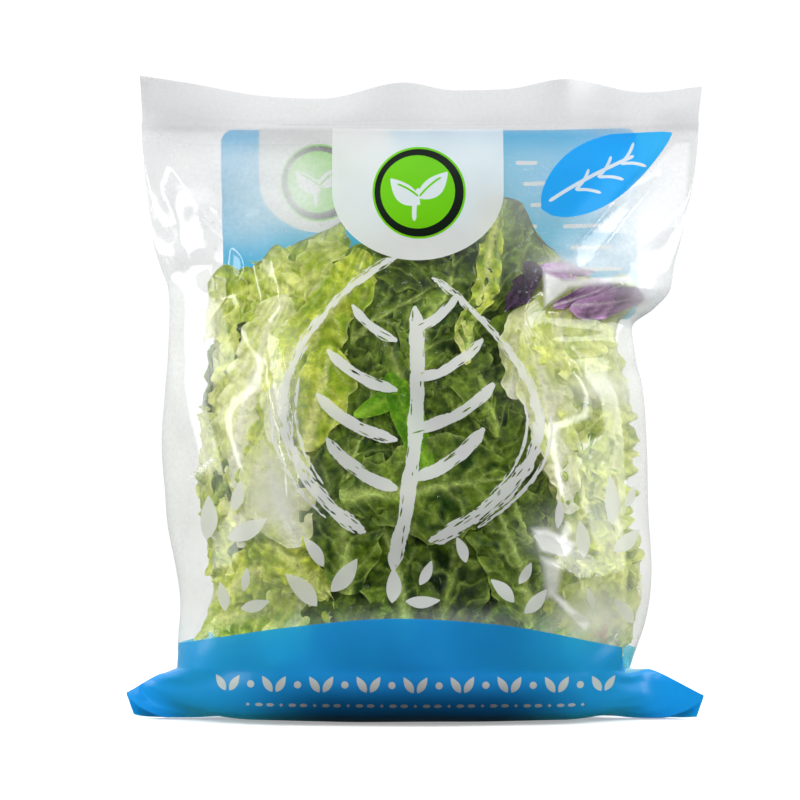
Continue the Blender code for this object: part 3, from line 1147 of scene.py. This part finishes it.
def leaf_sheet(kind, length, width, seed, detail):
    """A leaf lying flat: places along and across its axis, its relief and its colours, with painted
    shading on its crumples and a painted highlight along its edge.
    """
    rng = np.random.default_rng(seed)
    down, along = max(int(length * detail), 14), max(int(width * detail), 10)
    s, t = np.meshgrid(np.linspace(0, 1, down), np.linspace(-1, 1, along), indexing="ij")
    shift, wave = rng.uniform(0, 50), rng.uniform(0, 6)
    shape = np.sin(math.pi * (0.10 + 0.86 * s) ** 1.4) ** 0.6
    edge = 1 + 0.06 * np.sin(s * length / 2.4 + wave * np.sign(t)) * np.abs(t)
    edge += 0.13 * grain(s * length / 8 + shift, np.sign(t) * 5 + 0 * s, seed)
    edge += 0.03 * kind.ruffle * grain(s * length / 3, np.sign(t) * 7 + 0 * s, seed + 9)
    bow = rng.uniform(-0.12, 0.12) * length
    across = t * width / 2 * shape * edge + bow * (s - 0.5) ** 2 * 2
    lengthwise = (s - 0.5) * length * (1 + 0.06 * np.cos(t * 1.5))
    u, v = across / 10 + shift, lengthwise / 10 + shift
    warp = 0.45 * grain(u * 1.1, v * 1.1, seed + 6) + 0.2 * grain(u * 3, v * 3, seed + 7)
    pinnate = s * kind.veins - np.abs(t) ** 0.85 * 1.7 + warp + 0.3 * np.sign(t)
    fanned = t * kind.veins * 0.75 * (0.55 + 0.45 * s) + warp * 0.8
    phase = blend(pinnate, fanned, kind.fan)
    off_vein = np.abs(phase - np.round(phase)) * 2
    vein = np.exp(-((off_vein / 0.15) ** 2)) * (1 - 0.6 * np.abs(t)) * rng.uniform(0.5, 1)
    rib_half = kind.rib_width * (1.3 - s) / (width / 2 * np.maximum(shape, 0.2))
    rib = np.exp(-((np.abs(t + 0.04 * warp) / np.maximum(rib_half, 0.02)) ** 2)) * (1 - 0.6 * s)
    folds = grain(u * 0.55, v * 0.45, seed + 4)
    crumple = grain(u * 1.9, v * 1.9, seed + 2)
    fine = grain(u * 4.6, v * 4.6, seed + 3)
    face = 1 if rng.random() < 0.6 else -1
    relief = kind.crinkle * (1.1 * np.abs(crumple) + 0.35 * fine + 0.9 * off_vein * (1 - rib))
    relief = face * (relief - 1.0 * rib - 0.4 * vein) + 1.5 * folds
    ripple = np.sin(s * length / rng.uniform(1.5, 2.4) + wave * np.sign(t) + 2.2 * crumple)
    relief += kind.ruffle * np.abs(t) ** 2.5 * (ripple + 0.6 * grain(u * 3, v * 3, seed + 8))
    # Painted shading: lighter on the crests of the crumples, darker between them.
    painted_crumple_light = np.abs(crumple) * 1.5 + 0.35 * fine - 0.25
    light = 0.36 + 0.40 * grain(u * 0.9, v * 0.8, seed + 5) + 0.55 * painted_crumple_light
    light = np.clip(light + 0.25 * (0.45 - s) - 0.10 * off_vein, 0, 1)[..., None]
    colour = blend(kind.dark, kind.light, light)
    # Ribs and veins are paler in the leaf itself; the thin pale rim along the edge is a painted
    # highlight.
    pale = np.clip(rib + vein * 0.65 + 0.45 * np.abs(t) ** 16, 0, 1)[..., None]
    return across, lengthwise, relief, blend(colour, kind.rib, pale)


def smoothed(grid, rounds):
    """A tube of points with its fine creases smoothed away."""
    for _ in range(rounds):
        grid = (np.roll(grid, 1, axis=1) + 2 * grid + np.roll(grid, -1, axis=1)) / 4
        grid[1:-1] = (grid[:-2] + 2 * grid[1:-1] + grid[2:]) / 4
    return grid


class Nest:
    """Surfaces nested inside the film, on which the leaves lie."""

    def __init__(self, film, target):
        soft = smoothed(film, 12)
        self.grid = np.concatenate([soft, soft[:, :1]], axis=1)
        self.front = sheet_of(target, False)

    def inside(self, c, r, depth):
        """Points at columns and rows of the tube, a depth in from the film."""
        here = sample(self.grid, c % (2 * WIDE), r)
        front, back = curve(DEPTHS, here[..., 2])
        middle = sway(here[..., 0], here[..., 2])
        room = np.maximum(np.where(here[..., 1] < middle, front, back), 9.0)
        left, right = curve(SIDES, here[..., 2])
        centre = (right - left) / 2
        x = centre + (here[..., 0] - centre) * (1 - depth / HEAP_HALF_WIDTH)
        x = x + EMPTY_SIDE * smoothstep(-50, -105, x) * smoothstep(20, 60, here[..., 2])
        y = middle + (here[..., 1] - middle) * np.maximum(1 - depth / room, -0.2)
        return np.stack([x, y, here[..., 2]], axis=-1)

    def at(self, x, z):
        """The column and row of a place on the front."""
        c, r = locate(self.front, np.array([x], float), np.array([z], float))
        return c[0], r[0]


EMPTY_SIDE = 11.0  # the leaves stay this far from the left side fold
HEAP_HALF_WIDTH = 92
LOWEST_ROW = FOOT_ROW - 14.0
LAYERS_APART = 1.9  # how much deeper than its number below a shown leaf lies
SHOWN_DETAIL = 1.35  # points for each millimetre of a shown leaf
LEAST_DEPTH = 1.2  # how near the film a leaf comes
RAGGED_TOP = 4.5  # how far the leaves' tops stray from the heap's top line
FOLD_ZONE = 12  # columns beside a side fold where the filling leaves may lie near the film
# The top of the heap of leaves, from left to right: place and height.
HEAP_TOP = (
    (-96, 160),
    (-76, 181),
    (-60, 185),
    (-45, 193),
    (-25, 203),
    (0, 210),
    (25, 212),
    (42, 209),
    (50, 193),
    (62, 184),
    (72, 178),
    (86, 175),
    (97, 163),
)


def laid_leaf(nest, kind, column, row, length, width, degrees, depth, tilt, seed, detail):
    """A leaf laid inside the film, as points, faces and colours."""
    across, along, relief, colour = leaf_sheet(kind, length, width, seed, detail)
    x, z = spun(across, along, degrees)
    deep = depth + relief + tilt[0] * across + tilt[1] * along
    deep = LEAST_DEPTH + np.logaddexp(0, (deep - 0.7) * 1.6) / 1.6
    r = np.clip(row + z / STEP, LOWEST_ROW + 0.02 * np.arange(z.shape[0])[:, None], None)
    points = nest.inside(column + x / STEP, r, deep)
    top = curve(HEAP_TOP, points[..., 0])[0]
    top = top - 1.5 + RAGGED_TOP * grain(points[..., 0] / 7, 0 * top + 0.5, seed)
    over = np.maximum(points[..., 2] - top, 0)
    points = nest.inside(column + x / STEP, r - 0.92 * over / STEP, deep)
    return points.reshape(-1, 3), quads(*across.shape), colour.reshape(-1, 3)


# The leaves that show best at the front: kind, place, length, width, turn, depth, and how
# far they tilt inwards across and along, in millimetres for each millimetre.
SHOWN = (
    # upper left: frilly and pale
    ("pale", (-64, 178), 40, 34, -35, 4.0, 0.03, 0.04),
    ("lime", (-47, 186), 36, 34, 25, 6.0, 0.02, 0.05),
    ("pale", (-40, 174), 38, 30, 55, 3.4, 0.03, 0.02),
    ("pale", (-60, 160), 40, 32, 10, 2.6, 0.04, 0.02),
    ("lime", (-74, 162), 40, 28, -15, 5.0, 0.03, 0.03),
    # left: pale with wide ribs
    ("pale", (-80, 146), 56, 30, 10, 4.6, 0.03, 0.02),
    ("cream", (-70, 132), 74, 34, 14, 1.2, 0.05, 0.02),
    ("lime", (-64, 112), 62, 16, 26, 0.8, 0.12, 0.02),
    ("cream", (-80, 104), 64, 34, 0, 2.4, 0.04, 0.02),
    ("cream", (-56, 136), 46, 18, 2, 0.0, 0.12, 0.0),
    ("cream", (-55, 92), 42, 36, -20, 0.6, 0.07, 0.02),
    ("green", (-84, 96), 30, 18, 60, 2.0, 0.03, 0.04),
    ("lime", (-40, 158), 64, 26, 36, 0.4, 0.12, 0.01),
    ("lime", (-39, 129), 40, 26, 12, -0.6, 0.14, 0.02),
    # middle: romaine
    ("dark", (-8, 184), 62, 26, 78, 3.0, 0.04, 0.02),
    ("green", (-19, 158), 56, 44, 50, 3.6, 0.05, 0.02),
    ("green", (12, 168), 58, 38, 12, 3.2, -0.06, 0.02),
    ("green", (34, 184), 70, 22, 6, 2.2, 0.08, 0.01),
    ("lime", (29, 172), 56, 11, 8, 1.6, 0.10, 0.01),
    ("green", (52, 190), 40, 30, 24, 7.0, 0.03, 0.02),
    ("dark", (26, 146), 62, 34, -8, 3.4, 0.05, 0.02),
    ("dark", (-22, 128), 60, 46, 20, 4.6, 0.03, 0.02),
    ("green", (-23, 112), 52, 34, 18, 3.0, 0.06, 0.01),
    ("dark", (18, 124), 60, 46, 30, 3.8, 0.04, 0.02),
    ("bright", (-2, 119), 42, 13, -23, -0.6, 0.20, 0.01),
    ("bright", (-13, 128), 24, 9, 58, -0.4, 0.16, 0.01),
    ("dark", (36, 100), 56, 40, -24, 3.0, 0.05, 0.02),
    ("green", (4, 94), 66, 40, 84, 0.0, 0.10, 0.01),
    ("green", (-29, 84), 60, 36, 8, 2.0, 0.06, 0.02),
    ("dark", (-31, 54), 60, 38, -4, 3.2, 0.05, 0.02),
    ("green", (-8, 62), 60, 34, -12, 2.4, 0.08, 0.01),
    ("dark", (15, 58), 62, 36, 10, 2.8, -0.06, 0.02),
    ("green", (41, 70), 60, 36, -16, 2.0, 0.06, 0.01),
    ("dark", (33, 44), 50, 40, 40, 4.0, 0.03, 0.02),
    # lower left: curls
    ("lime", (-66, 62), 46, 28, 70, 1.8, 0.09, 0.02),
    ("lime", (-52, 66), 40, 24, -50, 2.4, 0.08, 0.02),
    ("lime", (-72, 44), 48, 26, 80, 3.0, -0.05, 0.02),
    ("pale", (-50, 42), 38, 30, 30, 2.4, 0.05, 0.02),
    ("pale", (-86, 56), 44, 26, -10, 4.0, 0.03, 0.02),
    ("green", (-76, 78), 40, 30, 20, 4.4, 0.03, 0.02),
    # right: pale iceberg
    ("cream", (46, 150), 44, 24, 20, 2.0, 0.06, 0.01),
    ("pale", (62, 154), 50, 38, -20, 2.4, 0.05, 0.02),
    ("cream", (56, 120), 70, 24, -10, 1.4, 0.08, 0.01),
    ("lime", (66, 112), 66, 24, -14, 3.2, -0.06, 0.01),
    ("pale", (76, 128), 64, 40, 8, 3.0, 0.03, 0.02),
    ("pale", (84, 106), 60, 30, 0, 2.4, 0.03, 0.02),
    ("lime", (72, 92), 46, 30, 16, 2.8, 0.05, 0.02),
    ("lime", (62, 64), 46, 32, 30, 4.4, 0.03, 0.02),
    ("lime", (84, 68), 50, 30, -14, 2.4, 0.04, 0.02),
    ("pale", (74, 46), 44, 38, 40, 2.4, 0.05, 0.02),
    # red cabbage
    ("plum", (41, 168.5), 10, 8, 20, -0.8, 0.06, 0.03),
    ("plum", (45.5, 172.5), 12, 9, -30, -0.6, 0.06, 0.03),
    ("plum", (47.5, 178), 10, 9, 10, -0.4, 0.06, 0.03),
    ("red", (78, 167), 31, 13, 84, -0.8, 0.08, 0.02),
    ("red", (69, 170), 22, 10, 66, -0.5, 0.08, 0.02),
    ("red", (62, 180), 26, 8, 86, 1.2, 0.06, 0.02),
    ("plum", (83, 184), 10, 6, 60, 0.6, 0.05, 0.03),
    ("plum", (84, 174), 9, 5, 84, -0.4, 0.05, 0.03),
)
PIECES_OF = {
    "dark": "romaine_dark",
    "green": "romaine_green",
    "bright": "romaine_bright",
    "lime": "lettuce_lime",
    "pale": "iceberg_pale",
    "cream": "iceberg_ribs",
    "plum": "red_cabbage_dark",
    "red": "red_cabbage_light",
}
# Each kind's material: roughness, share and colour of the light through it, and fine veins.
LEAF_LOOKS = {
    "dark": (0.28, 0.26, (1.3, 1.35, 0.4), 0.45),
    "green": (0.28, 0.28, (1.2, 1.25, 0.4), 0.40),
    "bright": (0.30, 0.30, (1.2, 1.25, 0.4), 0.20),
    "lime": (0.32, 0.36, (1.05, 1.08, 0.6), 0.22),
    "pale": (0.32, 0.38, (1.0, 1.02, 0.8), 0.14),
    "cream": (0.32, 0.36, (1.0, 1.0, 0.85), 0.08),
    "plum": (0.28, 0.12, (1.4, 0.5, 1.2), 0.3),
    "red": (0.30, 0.20, (1.2, 0.6, 1.2), 0.2),
}
SLOTS_OF = {"dark": "green_leaf", "green": "green_leaf", "bright": "green_leaf",
            "plum": "red_leaf", "red": "red_leaf"}


def fill_leaves(count, depth_range, seed):
    """Leaves behind the shown ones and all round the bag: mostly dark ones in the middle
    of each side, and paler ones towards the side folds."""
    rng = random.Random(seed)
    for k in range(count):
        column = (k * 0.618034 % 1) * 2 * WIDE
        row = LOWEST_ROW + 24 + rng.random() * 128
        flank = abs(math.cos(math.pi * column / WIDE))
        dark = rng.random() < 0.93 - 0.85 * flank
        kind = rng.choice(("dark", "green") if dark else ("lime", "pale", "pale", "cream"))
        yield (kind, column, row, rng.uniform(38, 66), rng.uniform(24, 40),
               rng.uniform(-75, 75), rng.uniform(*depth_range), rng.uniform(-0.05, 0.05),
               rng.uniform(0, 0.04))


def leaf_pieces(nest, materials):
    """All the leaves, joined into one piece for each kind."""
    made = {kind: [] for kind in KINDS}
    seed = 100
    for kind, place, length, width, degrees, depth, *tilt in SHOWN:
        column, row = nest.at(*place)
        seed += 1
        made[kind].append(laid_leaf(nest, KINDS[kind], column, row, length, width, degrees,
                                    depth * LAYERS_APART, tilt, seed, SHOWN_DETAIL))
    for count, depths, detail, first in ((90, (4, 10), 0.8, 7), (60, (11, 20), 0.55, 8)):
        for kind, column, row, length, width, degrees, depth, *tilt in fill_leaves(
            count, depths, first
        ):
            from_fold = min(column, WIDE - column)
            if from_fold > FOLD_ZONE:
                romaine = kind in ("dark", "green")
                depth = max(depth, 8 if romaine or from_fold <= 2 * FOLD_ZONE else 13)
            seed += 1
            made[kind].append(laid_leaf(nest, KINDS[kind], column, row, length, width, degrees,
                                        depth, tilt, seed, detail))
    for kind, parts in made.items():
        join(PIECES_OF[kind], parts, materials[kind], SLOTS_OF.get(kind, "pale_leaf"))


def join(name, parts, material, slot):
    """One piece from many (points, faces, colours)."""
    points, faces, colours, first = [], [], [], 0
    for part_points, part_faces, part_colours in parts:
        points.append(part_points)
        faces.append(part_faces + first)
        colours.append(part_colours)
        first += len(part_points)
    tints = [("tint", np.concatenate(colours))]
    return mesh_piece(name, np.concatenate(points), np.concatenate(faces), material, slot,
                      attributes=tints)


CORE_DEPTH = 19  # how far in from the film the core lies
CORE_BELOW_TOP = 8  # how far below the heap's top line the core ends


def core_piece(nest, material):
    """The dark lumpy middle of the heap, behind the leaves."""
    rows = np.arange(LOWEST_ROW + 4, LOWEST_ROW + 168, 4.0)
    c, r = np.meshgrid(np.arange(0, 2 * WIDE, 4.0), rows)
    depth = CORE_DEPTH + 3.5 * grain(c / 9, r / 9, 5) + 1.5 * grain(c / 4, r / 4, 6)
    points = nest.inside(c, r, depth)
    over = np.maximum(points[..., 2] - curve(HEAP_TOP, points[..., 0])[0] + CORE_BELOW_TOP, 0)
    points = nest.inside(c, r - over / STEP, depth)
    points[0] = points[1] * (0.97, 0.97, 0) + (0, 0, 4.5)
    faces = [*quads(*c.shape, closed=True).tolist(), *lids(*c.shape)]
    shade = 0.5 + 0.5 * grain(c / 6, r / 6, 7)[..., None]
    flank = smoothstep(0.55, 0.9, np.abs(np.cos(math.pi * c / WIDE)))[..., None]
    colour = blend(np.array((0.03, 0.07, 0.012)), np.array((0.12, 0.2, 0.04)), shade)
    colour = blend(colour, np.array((0.62, 0.70, 0.26)), flank)
    mesh_piece("leaf_core", points.reshape(-1, 3), faces, material, "green_leaf",
               attributes=[("tint", colour.reshape(-1, 3))])


# Shreds of carrot: place, length, turn and depth.
CARROT_SHREDS = (
    ((84, 58), 34, 12, 7.0),
    ((79, 47), 30, -24, 5.5),
    ((87, 106), 26, 4, 7.0),
    ((76, 38), 26, 66, 6.5),
)


SHRED_HALF_WIDTH, SHRED_THICKNESS = 1.3, 1.5


def shred(nest, column, row, length, degrees, depth, seed):
    """One bent strip of carrot with a square section."""
    rng = np.random.default_rng(seed)
    s = np.linspace(-0.5, 0.5, 20)
    bow, dip = rng.uniform(-0.2, 0.2) * length, rng.uniform(-2, 2)
    corners = []
    for side, level in ((-1, 0), (1, 0), (1, 1), (-1, 1)):
        across = bow * (4 * s * s - 1) + side * SHRED_HALF_WIDTH * (1.1 - np.abs(s))
        x, z = spun(across, s * length, degrees)
        deep = depth + 0.5 + dip * s + level * SHRED_THICKNESS
        r = np.maximum(row + z / STEP, LOWEST_ROW)
        corners.append(nest.inside(column + x / STEP, r, np.maximum(deep, 0.8)))
    points = np.stack(corners, axis=1).reshape(-1, 3)
    faces = np.concatenate([quads(len(s), 4, closed=True), lids(len(s), 4)])
    shade = rng.uniform(0.75, 1.1)
    return points, faces, np.tile(np.array((0.90, 0.40, 0.08)) * shade, (len(points), 1))


def carrot_piece(nest, material):
    """The shreds that show at the front and more behind, where the back's leaves are."""
    rng = random.Random(5)
    parts = []
    for k, (place, length, degrees, depth) in enumerate(CARROT_SHREDS):
        parts.append(shred(nest, *nest.at(*place), length, degrees, depth, 300 + k))
    for k in range(16):
        column = WIDE * (1.15 + 0.7 * rng.random())
        row = LOWEST_ROW + 20 + 110 * rng.random()
        parts.append(shred(nest, column, row, rng.uniform(20, 38), rng.uniform(0, 180),
                           rng.uniform(1, 4), 330 + k))
    join("carrot_shreds", parts, material, "carrot")


# Where drops of water hang inside the front: place, size and how many.
DROPS_AT = (
    ((-58, 212), (20, 16), 420),
    ((40, 214), (26, 14), 420),
    ((64, 184), (18, 10), 300),
    ((0, 170), (50, 26), 360),
    ((0, 110), (70, 50), 420),
    ((40, 50), (40, 8), 180),
)


DROP_SIDES = 8  # sides of a drop
DROP_GAP = 0.12  # how far inside the film a drop's flat side lies


def drops_piece(film, target, material):
    """Drops of water on the inside of the front, each a small flat dome."""
    rng = np.random.default_rng(21)
    spots = [rng.normal(place, size, (count, 2)) for place, size, count in DROPS_AT]
    spots = np.concatenate(spots)
    kept = (np.abs(spots[:, 0]) < 86) & (spots[:, 1] > 42) & (spots[:, 1] < 233)
    spots = spots[kept]
    c, r = locate(sheet_of(target, False), spots[:, 0], spots[:, 1])
    sheet = sheet_of(film, False)
    middle = sample(sheet, c, r)
    right, up = steps_at(sheet, c, r)
    right = unit(right)
    inward = unit(np.cross(up, right))
    up = np.cross(right, inward)
    radius = 0.18 + 0.62 * rng.random(len(spots)) ** 3
    points, faces = [], []
    around = np.linspace(0, 2 * math.pi, DROP_SIDES + 1)[:-1]
    for share, height in ((1.0, 0.0), (0.75, 0.45)):
        ring = [middle + inward * (DROP_GAP + radius * height)[:, None]
                + right * (radius * share * math.cos(t))[:, None]
                + up * (radius * share * math.sin(t))[:, None] for t in around]
        points.append(np.stack(ring, axis=1))
    points.append((middle + inward * (DROP_GAP + radius * 0.62)[:, None])[:, None])
    points = np.concatenate(points, axis=1)
    each = points.shape[1]
    for k in range(len(spots)):
        low, high, top = (k * each + ring * DROP_SIDES for ring in range(3))
        faces.append([low + n for n in range(DROP_SIDES)])
        for n in range(DROP_SIDES):
            after = (n + 1) % DROP_SIDES
            faces.append([low + after, low + n, high + n, high + after])
            faces.append([high + after, high + n, top])
    mesh_piece("water_drops", points.reshape(-1, 3), faces, material, "water")


# ----------------------------------------------------------------------- stage and camera
CAMERA_DISTANCE = 2.4
VIEW_WIDTH = 0.3200  # width of the view at the bag
LOOK_AT = Vector((-0.0060, 0.0, 0.1280))
CAMERA_RISE = 1.2  # degrees above level
SENSOR = 36
LIGHTS_AIM_AT = (0, 0, 0.13)
FLOOR_RADIUS, FLOOR_SIDES = 0.45, 64


def aimed(obj, place, target):
    obj.location = place
    obj.rotation_euler = (Vector(target) - Vector(place)).to_track_quat("-Z", "Y").to_euler()
    bpy.context.scene.collection.objects.link(obj)
    return obj


def add_camera():
    data = bpy.data.cameras.new("camera")
    data.sensor_width = SENSOR
    data.lens = SENSOR * CAMERA_DISTANCE / VIEW_WIDTH
    rise = math.radians(CAMERA_RISE)
    place = LOOK_AT + Vector((0, -math.cos(rise), math.sin(rise))) * CAMERA_DISTANCE
    bpy.context.scene.camera = aimed(bpy.data.objects.new("camera", data), place, LOOK_AT)


def add_softbox(name, place, width, height, radiance, mirrored=True):
    """A light panel aimed at the bag. Its power follows from how bright it looks."""
    data = bpy.data.lights.new(name, "AREA")
    data.shape, data.size, data.size_y = "RECTANGLE", width, height
    data.energy = radiance * math.pi * width * height
    panel = aimed(bpy.data.objects.new(name, data), place, LIGHTS_AIM_AT)
    panel.visible_glossy = mirrored


def add_world():
    """A white surround for the camera. What lights and mirrors is dim in front."""
    tree = Tree(bpy.data.worlds.new("studio"))
    generated = tree.add("TexCoord", output="Generated")
    split = tree.add("SeparateXYZ", {0: generated}).node.outputs
    behind = tree.ranged(split["Y"], -0.8, 0.1, 0.05, 1.3)
    above = tree.ranged(split["Z"], -0.25, 0.2, 0.03, 1.0)
    strength = tree.math("MULTIPLY", behind, above)
    lighting = tree.add("Background", {"Color": (0.98, 0.99, 1, 1), "Strength": strength})
    seen = tree.add("Background", {"Color": (1, 1, 1, 1), "Strength": 1.05})
    from_camera = tree.add("LightPath", output="Is Camera Ray")
    surround = tree.mixed(from_camera, lighting, seen)
    bpy.context.scene.world = tree.finished(surround, "OutputWorld")


def add_floor():
    """A pale floor, round and wide."""
    mesh = bpy.data.meshes.new("floor")
    turns = np.linspace(0, 2 * math.pi, FLOOR_SIDES + 1)[:-1]
    points = [(FLOOR_RADIUS * math.cos(t), FLOOR_RADIUS * math.sin(t), -0.0002) for t in turns]
    mesh.from_pydata(points, [], [list(range(FLOOR_SIDES))])
    tree = new_material("floor")
    diffuse = tree.add("BsdfDiffuse", {"Color": (0.8, 0.8, 0.8, 1)})
    lift = tree.add("Emission", {"Color": (1, 1, 1, 1), "Strength": 0.35})
    mesh.materials.append(tree.finished(tree.add("AddShader", {0: diffuse, 1: lift})))
    floor = bpy.data.objects.new("floor", mesh)
    floor.visible_diffuse = floor.visible_glossy = False
    bpy.context.scene.collection.objects.link(floor)
    floor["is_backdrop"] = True


def stage():
    add_camera()
    add_world()
    add_floor()
    add_softbox("front_fill", (0.0, -1.35, 0.62), 0.9, 0.9, 5.0, mirrored=False)
    add_softbox("left_softbox", (-1.0, -0.35, 0.45), 0.5, 1.0, 4.2)
    add_softbox("right_softbox", (1.0, -0.30, 0.40), 0.5, 1.0, 4.1)
    add_softbox("left_strip", (-0.70, -0.80, 0.40), 0.07, 0.6, 9)
    add_softbox("right_strip", (0.75, -0.70, 0.35), 0.06, 0.6, 10)
    add_softbox("top_softbox", (0.0, -0.25, 1.1), 0.8, 0.3, 3, mirrored=False)
    view = bpy.context.scene.view_settings
    view.view_transform, view.look = "Standard", "None"


def main():
    stage()
    target = film_target()
    steps = SOLVER_STEPS
    film = target + smoothed(creased(target, steps) - target, 2)
    film, target = finer(film), finer(target)
    sealed = np.r_[0 : 2 * SEAL_ROWS + 1, len(film) - 2 * TOP_STRIP - 1 : len(film)]
    film[sealed] += outward(film)[sealed] * SEAL_GAP
    materials = {
        "clear_film": clear_film(),
        "white_ink": ink("white_ink", (0.69, 0.70, 0.70), (0.94, 0.94, 0.94), 0.36, 0.03),
        "blue_ink": ink("blue_ink", (0.015, 0.285, 0.78), (0.10, 0.80, 0.97), 0.34, 0.05),
        "green_ink": ink("green_ink", (0.17, 0.58, 0.003), (0.25, 0.75, 0.02), 0.45),
        "dark_ink": ink("dark_ink", (0.006, 0.012, 0.006), (0.01, 0.01, 0.01), 0.45),
        "carrot": leaf_material("carrot", 0.32, 0.15, (1.1, 0.8, 0.5), 0.1),
        "water": water_material(),
    }
    for kind, looks in LEAF_LOOKS.items():
        materials[kind] = leaf_material(PIECES_OF[kind], *looks)
    film_pieces(film, target, front_print(), False, materials)
    film_pieces(film, target, back_print(), True, materials)
    nest = Nest(film, target)
    leaf_pieces(nest, materials)
    core_piece(nest, materials["dark"])
    carrot_piece(nest, materials["carrot"])
    drops_piece(film, target, materials["water"])


main()
boxes = {"cad": cad_bounds, "scene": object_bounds()}
plain = {name: [list(map(float, corner)) for corner in box] for name, box in boxes.items()}
